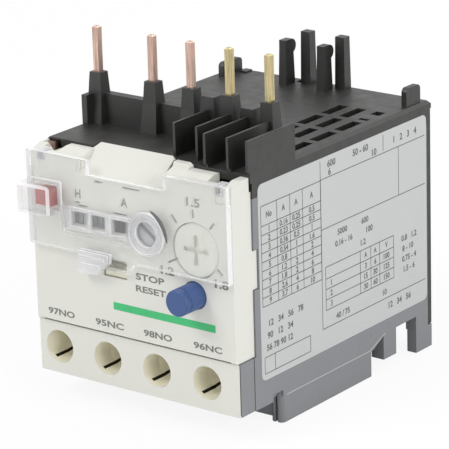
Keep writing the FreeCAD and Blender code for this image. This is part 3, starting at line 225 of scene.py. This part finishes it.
LOOKS = {
    "grey_housing": moulded("grey_housing", (126, 128, 131), rough=0.50),
    "black_cover": moulded("black_cover", (26, 26, 24), rough=0.47, depth=0.024, spread=0.10,
                           spec=0.75),
    "white_cover": moulded("white_cover", (214, 214, 207), rough=0.42, depth=0.006, spread=0.012),
    "white_dial": moulded("white_dial", (217, 218, 209), rough=0.40, depth=0.004, spread=0.015),
    "clear_plastic": see_through("clear_polycarbonate", 0.20, 0.72, 0.8, 0.25,
                                 (0.86, 0.87, 0.87), (0.95, 0.95, 0.98)),
    "blue_button": moulded("blue_button", (58, 82, 132), rough=0.36, depth=0.005, spread=0.05),
    "red_button": moulded("red_button", (160, 74, 70), rough=0.38, depth=0.005, spread=0.06),
    "grey_control": moulded("grey_control", (122, 123, 126), rough=0.40, depth=0.005, spread=0.05),
    "yellow_flag": moulded("yellow_flag", (220, 214, 172), rough=0.45, depth=0.005),
    "inner_plastic": moulded("inner_plastic", (176, 170, 154), rough=0.5, depth=0.008),
    "label_foil": moulded("label_foil", (185, 187, 186), rough=0.34, grain=0.5, depth=0.003,
                          spread=0.02),
    "copper": metal("copper", (208, 178, 164), rough=0.38, spread=0.34),
    "brass": metal("brass", (200, 186, 142), rough=0.34, spread=0.36),
    "plated_steel": metal("plated_steel", (188, 187, 180), rough=0.32, drawn=(0.1, 1, 1)),
    "bimetal": metal("bimetal", (170, 160, 150), rough=0.36),
    "heater_ribbon": metal("heater_ribbon", (150, 146, 140), rough=0.42),
    "silver_contact": metal("silver_contact", (205, 200, 188), rough=0.28),
    "spring_steel": metal("spring_steel", (165, 166, 168), rough=0.26),
}
# Whitish, half-opaque clear for the grip, the window bars, the bead and the ring: partly haze of
# the plastic, partly painted glare
MILKY_GLARE = see_through("milky_glare_polycarbonate", 0.50, 0.9, 0.3, 0.1,
                    (0.88, 0.88, 0.895), (0.98, 0.98, 1.0)).mat
FUNNEL = moulded("funnel_lining", (236, 232, 212), rough=0.46, depth=0.005, spread=0.05).mat
# Painted shade: dark colour for the slits and gaps that fall into shadow
GAP_SHADE = moulded("painted_gap_shade", (36, 30, 22), rough=0.8, depth=0.004, spec=0.1).mat
# Painted shade: near-black for the sheet that stands for the unlit inside under the cooling slots
VENT_SHADE = moulded("painted_vent_shade", (9, 9, 9), rough=0.85, depth=0.006, spec=0.1).mat
GLINT = moulded("dark_reflection", (98, 100, 100), rough=0.3, depth=0.003).mat
# Painted highlight: lighter grey for the lit lower edge of the side wall
LIT_EDGE = moulded("painted_edge_highlight", (168, 170, 172), rough=0.42, depth=0.004).mat
CREAM = moulded("cream_plastic", (222, 219, 200), rough=0.45, depth=0.004).mat
INK = ink("grey_ink", (116, 116, 110)).mat
LABEL_INK = ink("label_ink", (92, 93, 92)).mat
GREEN_INK = ink("green_ink", (60, 180, 112)).mat

for node in nodes.values():
    for place in node.material_slots:
        place.material = LOOKS[place.material.name.split(".")[0]].mat
KNOB = moulded("selector_grey", (176, 177, 182), rough=0.34, depth=0.004).mat
nodes["mode_selector_knob"].material_slots[0].material = KNOB


# ---- softened edges ----------------------------------------------------------
def soften(name, width):
    """Small moulded radius, this many millimetres, on the sharp edges of a CAD node."""
    node = nodes[name]
    weld = node.modifiers.new("weld", "WELD")
    weld.merge_threshold = mm(0.002)
    flat = node.modifiers.new("flat", "DECIMATE")
    flat.decimate_type = "DISSOLVE"
    flat.angle_limit = math.radians(0.4)
    edge = node.modifiers.new("edge", "BEVEL")
    edge.width = mm(width)
    edge.segments = 2
    edge.limit_method = "ANGLE"
    edge.angle_limit = math.radians(40)
    edge.use_clamp_overlap = True
    edge.harden_normals = True


for part, width in (("base_housing", 0.22), ("top_cover", 0.12), ("front_cover", 0.18),
                    ("aux_terminal_block", 0.12), ("terminal_carrier", 0.12),
                    ("stop_reset_button", 0.15), ("test_button", 0.12), ("clear_cover", 0.16)):
    soften(part, width)


# ---- printing ------------------------------------------------------------------
PRINT_LIFT = 0.012          # how far ink stands off its face
STROKE = 0.03               # how much bolder than the plain letters, in letter heights


class Plane:
    """A printed face: a corner point, the way along a line of print and the way up the page."""

    def __init__(self, origin, along, up):
        self.origin, self.along, self.up = Vector(origin), Vector(along), Vector(up)
        self.out = self.along.cross(self.up)

    def at(self, u, v):
        return self.origin + self.along * mm(u) + self.up * mm(v) + self.out * mm(PRINT_LIFT)


class Print:
    """All the marks of one ink on one plane, as one mesh."""

    def __init__(self, plane):
        self.plane = plane
        self.bm = bmesh.new()

    def face(self, points):
        made = [self.bm.verts.new(self.plane.at(u, v)) for u, v in points]
        self.bm.faces.new(made)

    def line(self, u0, v0, u1, v1, width):
        d = Vector((u1 - u0, v1 - v0)).normalized() * width / 2
        self.face([(u0 + d.y, v0 - d.x), (u1 + d.y, v1 - d.x),
                   (u1 - d.y, v1 + d.x), (u0 - d.y, v0 + d.x)])

    def glyphs(self, words):
        """Outline of some words as points and faces, in letter heights."""
        curve = bpy.data.curves.new("words", "FONT")
        curve.body = words
        curve.resolution_u = 3
        curve.offset = STROKE
        holder = bpy.data.objects.new("words", curve)
        bpy.context.scene.collection.objects.link(holder)
        bpy.context.view_layer.update()
        mesh = holder.evaluated_get(bpy.context.evaluated_depsgraph_get()).to_mesh()
        points = [(p.co.x, p.co.y) for p in mesh.vertices]
        faces = [list(poly.vertices) for poly in mesh.polygons]
        bpy.data.objects.remove(holder)
        return points, faces

    def place(self, faces, points):
        """Faces between points of the plane."""
        made = [self.bm.verts.new(self.plane.at(u, v)) for u, v in points]
        for face in faces:
            self.bm.faces.new([made[i] for i in face])

    def text(self, words, u0, u1, v0, v1):
        """Words that fill this rectangle of the plane."""
        points, faces = self.glyphs(words)
        xs, ys = [p[0] for p in points], [p[1] for p in points]
        low, wide = min(xs), max(xs) - min(xs)
        foot, tall = min(ys), max(ys) - min(ys)
        self.place(faces, [(u0 + (x - low) / wide * (u1 - u0), v0 + (y - foot) / tall * (v1 - v0))
                           for x, y in points])

    def number(self, words, u, v, height, narrow=0.85):
        """A short number of this height, centred on a point."""
        points, faces = self.glyphs(words)
        xs, ys = [p[0] for p in points], [p[1] for p in points]
        scale = height / (max(ys) - min(ys))
        across, mid_x, mid_y = scale * narrow, (min(xs) + max(xs)) / 2, (min(ys) + max(ys)) / 2
        self.place(faces, [(u + (x - mid_x) * across, v + (y - mid_y) * scale) for x, y in points])

    def done(self, name, material, body):
        mesh = bpy.data.meshes.new(name)
        self.bm.to_mesh(mesh)
        self.bm.free()
        mesh.materials.append(material)
        obj = bpy.data.objects.new(name, mesh)
        bpy.context.scene.collection.objects.link(obj)
        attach(obj, body)
        return obj


plate_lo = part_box("front_cover")[0]
cover_face = Plane((0, plate_lo.y, 0), (1, 0, 0), (0, 0, 1))

marks = Print(cover_face)
TERMINALS = (("97NO", -19.7, -13.6), ("95NC", -8.8, -2.4), ("98NO", 2.1, 8.4), ("96NC", 13.1, 19.3))
for words, u0, u1 in TERMINALS:
    marks.text(words, u0, u1, 16.3, 17.55)
marks.text("STOP", 0.8, 7.1, 26.5, 27.75)
marks.text("RESET", 0.7, 7.4, 24.3, 25.5)
marks.number("H", -11.6, 40.05, 1.7)
marks.number("A", -1.2, 40.15, 1.7)
DIAL_TICKS = ((9.2, 39.8, 10.3, 38.5), (13.8, 41.5, 13.95, 40.0), (18.4, 39.8, 17.5, 38.6),
              (10.3, 32.1, 8.2, 31.0), (18.8, 31.7, 19.9, 30.7))
for u0, v0, u1, v1 in DIAL_TICKS:
    marks.line(u0, v0, u1, v1, 0.4)
for words, x, z in (("1.5", 13.95, 42.75), ("1.2", 7.9, 29.4), ("1.8", 19.6, 29.0)):
    marks.number(words, x, z, 1.6, 1.35)
marks.done("cover_printing", INK, "housing")

# painted shadow: thin dark dashes where the windows and the ramp leave a gap in shade
gap_shadows = Print(cover_face)
for x0, x1, z in ((-11.9, -9.3, 37.95), (-3.9, -0.5, 37.9), (-12.5, -11.1, 38.45),
                  (-7.9, -5.8, 42.95), (-1.7, 2.5, 42.88)):
    gap_shadows.face([(x0, z), (x0 + 0.7, z - 0.13), (x1, z - 0.08),
               (x1 - 0.3, z + 0.1), (x0 + 0.5, z + 0.1)])
gap_shadows.done("cover_gap_shadows", GAP_SHADE, "housing")

stripe = Print(cover_face)
stripe.face([(-4.5, 19.95), (18.0, 19.95), (18.0, 21.35), (-4.5, 21.35)])
stripe.done("cover_stripe", GREEN_INK, "housing")


# ---- rating label: ruled table and plain numbers -----------------------------------
label_lo, label_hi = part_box("rating_label")
label_face = Plane((label_hi.x, label_lo.y, label_lo.z), (0, 1, 0), (0, 0, 1))
label_w = in_mm(label_hi.y - label_lo.y)
label_h = in_mm(label_hi.z - label_lo.z)
rules = Print(label_face)
RULE = 0.16                 # width of a ruled line
margin = 0.6                # from the rules' ends to the label's right side


def table(left, right, top, head, row, count, columns):
    """A ruled table; columns are distances from its left side."""
    foot = top - head - row * count
    for u in [left] + [left + c for c in columns] + [right]:
        rules.line(u, foot, u, top, RULE)
    for v in [top, foot] + [top - head - row * i for i in range(count)]:
        rules.line(left, v, right, v, RULE)


divider = 18.2
top_band = label_h - 3.9
mid_band = label_h - 13.1
foot_band = label_h - 31.6
rules.line(divider, foot_band, divider, label_h - 0.5, RULE)
rules.line(divider, top_band, label_w - margin, top_band, RULE)
rules.line(divider, mid_band, label_w - margin, mid_band, RULE)
rules.line(divider, foot_band, label_w - margin, foot_band, RULE)
rules.line(37.6, top_band + 0.4, 37.6, label_h - 0.5, RULE)
rules.line(42.4, mid_band, 42.4, top_band, RULE)

FIGURE = 1.12               # height of the figures in the tables
first_top, first_head, first_row = label_h - 4.0, 3.6, 1.62
first_mid = 3.0, 7.2, 10.9, 15.5      # middles of its columns
table(0.7, divider, first_top, first_head, first_row, 9, (4.6, 8.4, 12.1))
columns = (("1", "2", "3", "4", "5", "6", "7", "8", "9"),
           ("0.16", "0.23", "0.36", "0.54", "0.8", "1.2", "1.8", "2.6", "3.7"),
           ("0.25", "0.25", "0.5", "1", "1", "2", "2", "4", "6"),
           ("0.5", "0.5", "1", "1.6", "2", "4", "6", "8", "10"))
for i, row in enumerate(zip(*columns)):
    for words, u in zip(row, first_mid):
        rules.number(words, u, first_top - first_head - first_row * (i + 0.5), FIGURE, 0.95)

second_top, second_head, second_row = label_h - 20.3, 2.2, 1.95
second_mid = 31.7, 34.7, 38.3
table(19.3, 40.6, second_top, second_head, second_row, 3, (10.7, 14.0, 16.8))
for i, row in enumerate((("3", "6", "100"), ("15", "30", "125"), ("30", "60", "150"))):
    for words, u in zip(row, second_mid):
        rules.number(words, u, second_top - second_head - second_row * (i + 0.5), FIGURE, 0.95)
for words, u in zip(("No", "A", "A", "A"), first_mid):
    rules.number(words, u, first_top - first_head / 2, 1.15)
for words, u in zip(("A", "A", "V"), second_mid):
    rules.number(words, u, second_top - second_head / 2, 1.05)
for i in range(3):
    rules.number(str(i + 1), 21.0, second_top - second_head - second_row * (i + 0.5), FIGURE)
for words, u, v, height in (
        ("50 - 60", 30.5, label_h - 1.5, 1.3), ("600", 21.6, label_h - 1.5, 1.3),
        ("10", 34.8, label_h - 3.0, 1.3), ("6", 21.0, label_h - 3.0, 1.3),
        ("1   2   3   4", 44.6, label_h - 2.2, 1.3),
        ("5000", 24.6, mid_band - 1.7, 1.15), ("600", 31.6, mid_band - 1.7, 1.15),
        ("0.16 - 16", 25.0, mid_band - 3.7, 1.15), ("100", 33.0, mid_band - 3.7, 1.15),
        ("1.2", 31.0, mid_band - 5.7, 1.15),
        ("0.8   1.2", 45.6, second_top - 1.4, 1.15), ("8 - 10", 45.2, second_top - 3.4, 1.15),
        ("0.75 - 4", 45.6, second_top - 5.4, 1.15), ("1.5 - 6", 45.6, second_top - 7.4, 1.15),
        ("40 / 75", 24.4, foot_band + 1.3, 1.15), ("10", 37.6, foot_band + 1.3, 1.15),
        ("12   34   56   78", 7.4, 10.2, 1.25), ("90   12   34", 5.6, 8.0, 1.25),
        ("56 78 90 12", 5.4, 5.8, 1.25), ("12   34   56", 42.4, foot_band - 1.6, 1.25)):
    rules.number(words, u, v, height, 1.0)
for u0, v0, u1, v1 in ((0.9, 1.2, 14.4, 1.2), (0.9, 4.2, 14.4, 4.2), (0.9, 1.2, 0.9, 4.2),
                       (14.4, 1.2, 14.4, 4.2), (3.9, 1.2, 3.9, 4.2)):
    rules.line(u0, v0, u1, v1, RULE)
rules.done("label_printing", LABEL_INK, "housing")


# ---- small mouldings ---------------------------------------------------------------
def solid_piece(name, bm, material, body, rounding=0.0, segments=2):
    """Object made of a finished mesh, with a small radius on its edges."""
    bmesh.ops.recalc_face_normals(bm, faces=bm.faces[:])
    mesh = bpy.data.meshes.new(name)
    bm.to_mesh(mesh)
    bm.free()
    mesh.materials.append(material)
    obj = bpy.data.objects.new(name, mesh)
    bpy.context.scene.collection.objects.link(obj)
    if rounding:
        edge = obj.modifiers.new("edge", "BEVEL")
        edge.width = mm(rounding)
        edge.segments = segments
        edge.limit_method = "ANGLE"
    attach(obj, body)
    return obj


def here(x, depth, z):
    """Point given in millimetres: across, behind the front cover's face, and up."""
    return Vector((mm(x), plate_lo.y + mm(depth), mm(z)))


def slab(bm, outline, d0, d1):
    """Prism of an outline seen from the front, between two depths."""
    front = [bm.verts.new(here(x, d0, z)) for x, z in outline]
    rear = [bm.verts.new(here(x, d1, z)) for x, z in outline]
    bm.faces.new(front)
    bm.faces.new(rear[::-1])
    count = len(outline)
    for i in range(count):
        j = (i + 1) % count
        bm.faces.new([front[i], rear[i], rear[j], front[j]])


def block(bm, x0, x1, d0, d1, z0, z1):
    slab(bm, [(x0, z0), (x1, z0), (x1, z1), (x0, z1)], d0, d1)


def crescent(bm, x, z, r0, r1, a0, a1, d0, d1, steps=16):
    """Part of a flat ring that thins to almost nothing at both ends."""
    inner, outer = [], []
    for i in range(steps + 1):
        a = math.radians(a0 + (a1 - a0) * i / steps)
        grow = math.sin(math.pi * i / steps) ** 0.5
        outer.append((x + r1 * math.cos(a), z + r1 * math.sin(a)))
        r = r1 - (r1 - r0) * max(grow, 0.08)
        inner.append((x + r * math.cos(a), z + r * math.sin(a)))
    for i in range(steps):
        slab(bm, [inner[i], outer[i], outer[i + 1], inner[i + 1]], d0, d1)
    bmesh.ops.remove_doubles(bm, verts=bm.verts[:], dist=mm(0.001))


def ring(bm, x, z, r0, r1, d0, d1, steps=48):
    """Flat ring as one closed skin."""
    rows = []
    for i in range(steps):
        a = math.tau * i / steps
        u, v = math.cos(a), math.sin(a)
        rows.append([bm.verts.new(here(x + r * u, d, z + r * v))
                     for r, d in ((r0, d0), (r1, d0), (r1, d1), (r0, d1))])
    for i in range(steps):
        a, b = rows[i], rows[(i + 1) % steps]
        for k in range(4):
            bm.faces.new([a[k], a[(k + 1) % 4], b[(k + 1) % 4], b[k]])


# screwdriver funnels: pale lining with a slit in the floor, and dark walls behind the slit as
# painted shade
screws_lo, screws_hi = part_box("aux_terminal_screws")
screw_r = in_mm(screws_hi.z - screws_lo.z) / 2
first_x, last_x = in_mm(screws_lo.x) + screw_r, in_mm(screws_hi.x) - screw_r
funnel_x = [first_x + (last_x - first_x) * i / 3 for i in range(4)]
funnel_z = in_mm(screws_hi.z + screws_lo.z) / 2
mouth = in_mm(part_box("aux_terminal_block")[0].y - plate_lo.y)
PROFILE = ((0.06, 3.03), (0.9, 3.03), (2.7, 3.03), (4.3, 3.03), (6.2, 2.44))   # depth, radius
SLIT = (230.0, 242.0)                 # angles of the slit's two sides
SLIT_ROW = 1                          # the slit starts at this row of the profile
carrier_side = in_mm(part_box("terminal_carrier")[0].x) + 2.03   # the lining stays right of it
linings = bmesh.new()
slit_shade = bmesh.new()
steps = 60
for x in funnel_x:
    rows = []
    for d, r in PROFILE:
        left = carrier_side if d > 1 else -100
        rows.append([linings.verts.new(here(max(left, x + r * math.cos(math.tau * i / steps)),
                                            mouth + d,
                                            funnel_z + r * math.sin(math.tau * i / steps)))
                     for i in range(steps)])
    for k in range(len(PROFILE) - 1):
        for i in range(steps):
            middle = 360.0 * (i + 0.5) / steps
            if k >= SLIT_ROW and SLIT[0] < middle < SLIT[1]:
                continue
            j = (i + 1) % steps
            linings.faces.new([rows[k][i], rows[k][j], rows[k + 1][j], rows[k + 1][i]])
    previous = None
    for d, r in PROFILE[SLIT_ROW:]:
        row = [slit_shade.verts.new(here(x + (r + 0.055) * math.cos(math.radians(a)), mouth + d,
                                    funnel_z + (r + 0.055) * math.sin(math.radians(a))))
               for a in (SLIT[0] - 2, SLIT[0] + 4, SLIT[0] + 8, SLIT[1] + 2)]
        if previous:
            for i in range(3):
                slit_shade.faces.new([previous[i], previous[i + 1], row[i + 1], row[i]])
        previous = row
lining = solid_piece("funnel_linings", linings, FUNNEL, "housing")
slit_shade_walls = solid_piece("funnel_slit_shade", slit_shade, GAP_SHADE, "housing")
for piece, thick in ((lining, 0.04), (slit_shade_walls, 0.01)):
    wall = piece.modifiers.new("wall", "SOLIDIFY")
    wall.thickness = mm(thick)
    wall.offset = 0.0

# tray behind the trip flag, which closes the view past it and clears the flag's whole rise
flag_lo, flag_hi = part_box("trip_flag")
tray = bmesh.new()
tray_front, tray_back, tray_foot, tray_top = 1.63, 2.8, 26.55, 29.9
tray_left, tray_right = in_mm(flag_lo.x) - 0.5, in_mm(flag_hi.x) + 0.45
block(tray, tray_left, tray_right, tray_back, tray_back + 0.3, tray_foot, tray_top)
for x0, x1, z0 in ((tray_left, tray_left + 0.3, tray_foot),
                   (tray_right - 0.3, tray_right, tray_foot),
                   (tray_left + 0.25, tray_right - 0.25, tray_top - 0.35)):
    block(tray, x0, x1, tray_front, tray_back + 0.05, z0, tray_top)
solid_piece("flag_tray", tray, CREAM, "housing", 0.08)

# painted shade: dark sheet under the cooling slots, which stands for the unlit inside
shade_sheet = bmesh.new()
SHADE_SHEET_X = 9.2, 20.8
block(shade_sheet, *SHADE_SHEET_X, 19.5, 51.5, 45.3, 45.75)
for depth in (20.0, 35.0, 50.0):
    block(shade_sheet, *SHADE_SHEET_X, depth, depth + 0.6, 45.15, 45.9)
solid_piece("vent_shade_sheet", shade_sheet, VENT_SHADE, "housing", 0.05)

# raised face of the trip flag, flush with the cover in its window
flag_left, flag_top = in_mm(flag_lo.x), in_mm(flag_hi.z)
raised = bmesh.new()
block(raised, flag_left + 0.05, flag_left + 4.95, 0.25, 1.8, flag_top - 1.58, flag_top - 0.1)
solid_piece("flag_face", raised, CREAM, "trip_flag", 0.12)

# fillings under the hinge arms, in the slots that the arms turn in
slot_fill = bmesh.new()
for x0, x1 in ((-20.35, -18.85), (18.85, 20.35)):
    block(slot_fill, x0, x1, 0.05, 2.9, 43.45, 44.85)
solid_piece("hinge_slot_fillings", slot_fill, LOOKS["white_cover"].mat, "housing",
            0.1)

# clear cover: lifting grip and bars around the windows
grip = bmesh.new()
slab(grip, [(-10.6, 26.2), (-6.6, 26.5), (-3.9, 28.8), (-3.7, 30.5), (-10.6, 30.5)], -2.1, -0.7)
for z, right in ((28.0, -5.6), (29.4, -4.5)):
    slab(grip, [(-10.2, z - 0.3), (right, z - 0.3), (right, z + 0.3), (-10.2, z + 0.3)], -2.2, -2.0)
solid_piece("cover_grip", grip, MILKY_GLARE, "clear_cover", 0.18, 3)

frame_bars = bmesh.new()
bar_front, bar_back = -1.28, -0.62
bars_left, bars_right, bars_foot, bars_top = -14.0, 1.6, 33.8, 37.8
for x0, x1 in ((bars_left, -12.4), (-8.8, -8.1), (-4.7, -3.4), (0.9, bars_right)):
    block(frame_bars, x0, x1, bar_front, bar_back, bars_foot, bars_top)
for z0, z1 in ((37.1, bars_top), (bars_foot, 34.3)):
    block(frame_bars, bars_left, bars_right, bar_front + 0.06, bar_back - 0.06, z0, z1)
solid_piece("window_bars", frame_bars, MILKY_GLARE, "clear_cover", 0.1)

# bead where the bump over the test button rises from the sheet
bump_left, bump_right, bump_foot, bump_top = -21.8, -14.4, 36.3, 41.8
bead_width = 0.3
bead_right, bead_foot, bead_top = (bump_right + bead_width, bump_foot - bead_width,
                                   bump_top + bead_width)
bead = bmesh.new()
for x0, z0, z1 in ((bump_left, bump_top, bead_top), (bump_left, bead_foot, bump_foot),
                   (bump_right, bead_foot, bead_top)):
    block(bead, x0, bead_right, -1.62, -1.30, z0, z1)
solid_piece("bump_bead", bead, MILKY_GLARE, "clear_cover", 0.12)

# thick ring around the selector, and the dark reflection at its right
knob_lo, knob_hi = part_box("mode_selector_knob")
knob_cx, knob_cz = in_mm(knob_lo.x + knob_hi.x) / 2, in_mm(knob_lo.z + knob_hi.z) / 2
eye = bmesh.new()
ring(eye, knob_cx, knob_cz, 2.25, 3.9, -1.30, -0.60)
solid_piece("selector_eye", eye, MILKY_GLARE, "clear_cover", 0.15)
gleam = bmesh.new()
crescent(gleam, knob_cx, knob_cz, 4.12, 4.85, -8, 74, -1.46, -1.33)
solid_piece("eye_gleam", gleam, GLINT, "clear_cover")

# painted highlight: light line along the foot of the side wall and up its rear web, where the
# wall's lower edge catches the light
wall_x = in_mm(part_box("base_housing")[1].x)


def side_strip(bm, points, width):
    """Thin line on the side wall through points given by depth and height."""
    for (d0, z0), (d1, z1) in zip(points, points[1:]):
        run = Vector((d1 - d0, z1 - z0)).normalized() * width / 2
        ends = [(d0 - run.y, z0 + run.x), (d1 - run.y, z1 + run.x),
                (d1 + run.y, z1 - run.x), (d0 + run.y, z0 - run.x)]
        outer = [bm.verts.new(here(wall_x + 0.004, d, z)) for d, z in ends]
        inner = [bm.verts.new(here(wall_x - 0.1, d, z)) for d, z in ends]
        bm.faces.new(outer)
        bm.faces.new(inner[::-1])
        for i in range(4):
            j = (i + 1) % 4
            bm.faces.new([outer[i], inner[i], inner[j], outer[j]])


side = bmesh.new()
side_strip(side, [(14.0, 5.14), (39.4, 5.14), (44.7, 7.1)], 0.22)
solid_piece("painted_edge_highlight", side, LIT_EDGE, "housing")


# ---- camera ------------------------------------------------------------------
camera_data = bpy.data.cameras.new("camera")
camera = bpy.data.objects.new("camera", camera_data)
bpy.context.scene.collection.objects.link(camera)
# Pose and lens fitted to the photo with the width of the body set to 45 mm.
camera.location = (0.311914, -0.403567, 0.195651)
camera.rotation_euler = (math.radians(71.895), math.radians(1.605), math.radians(37.254))
camera_data.sensor_width = 36.0
camera_data.lens = 238.3
camera_data.shift_x = 0.00198
camera_data.shift_y = -0.00223
camera_data.clip_start = 0.02
camera_data.clip_end = 20.0
bpy.context.scene.camera = camera


# ---- light, floor and background -------------------------------------------------
MIDDLE = (0, 0, 0.03)                 # what the lamps are aimed at


def lamp(name, place, size, power):
    data = bpy.data.lights.new(name, "AREA")
    data.shape = "DISK"
    data.size = size
    data.energy = power
    obj = bpy.data.objects.new(name, data)
    bpy.context.scene.collection.objects.link(obj)
    obj.location = place
    obj.rotation_euler = (Vector(MIDDLE) - Vector(place)).to_track_quat("-Z", "Y").to_euler()


lamp("lamp_key", (-0.35, -0.65, 0.75), 0.5, 4.2)
lamp("lamp_side", (0.85, -0.15, 0.45), 0.6, 3.6)
lamp("lamp_back", (0.1, 0.6, 0.8), 0.5, 2.2)

world = bpy.data.worlds.new("studio")
bpy.context.scene.world = world
world.use_nodes = True
tree = world.node_tree
backdrop = tree.nodes["Background"]
seen = tree.nodes.new("ShaderNodeLightPath").outputs
direct = seen["Is Camera Ray"]
for kind in ("Is Glossy Ray", "Is Transmission Ray"):    # white for these three, dimmer as light
    either = tree.nodes.new("ShaderNodeMath")
    either.operation = "MAXIMUM"
    tree.links.new(direct, either.inputs[0])
    tree.links.new(seen[kind], either.inputs[1])
    direct = either.outputs[0]
level = tree.nodes.new("ShaderNodeMapRange")
level.inputs["To Min"].default_value = 0.62
level.inputs["To Max"].default_value = 1.0
tree.links.new(direct, level.inputs["Value"])
backdrop.inputs["Color"].default_value = (1, 1, 1, 1)
tree.links.new(level.outputs["Result"], backdrop.inputs["Strength"])

ground = bpy.data.meshes.new("floor")
shape = bmesh.new()
bmesh.ops.create_grid(shape, x_segments=8, y_segments=8, size=3.0)
shape.to_mesh(ground)
shape.free()
floor = bpy.data.objects.new("floor", ground)
floor.location = (0, 0, cad_box[0].z - mm(0.02))
bpy.context.scene.collection.objects.link(floor)
paper = bpy.data.materials.new("paper")
paper.use_nodes = True
tree = paper.node_tree
matte = tree.nodes["Principled BSDF"]
matte.inputs["Roughness"].default_value = 0.9
matte.inputs["Specular IOR Level"].default_value = 0.1
matte.inputs["Base Color"].default_value = (0.86, 0.86, 0.86, 1)
white = tree.nodes.new("ShaderNodeEmission")
white.inputs["Color"].default_value = (1, 1, 1, 1)
white.inputs["Strength"].default_value = 1.0
mix = tree.nodes.new("ShaderNodeMixShader")
seen = tree.nodes.new("ShaderNodeLightPath")
share = tree.nodes.new("ShaderNodeMapRange")      # how much of the floor is shown as plain white
share.inputs["To Max"].default_value = 0.90
tree.links.new(seen.outputs["Is Camera Ray"], share.inputs["Value"])
tree.links.new(share.outputs["Result"], mix.inputs["Fac"])
tree.links.new(matte.outputs["BSDF"], mix.inputs[1])
tree.links.new(white.outputs["Emission"], mix.inputs[2])
tree.links.new(mix.outputs["Shader"], tree.nodes["Material Output"].inputs["Surface"])
ground.materials.append(paper)

bpy.context.scene.view_settings.view_transform = "Standard"
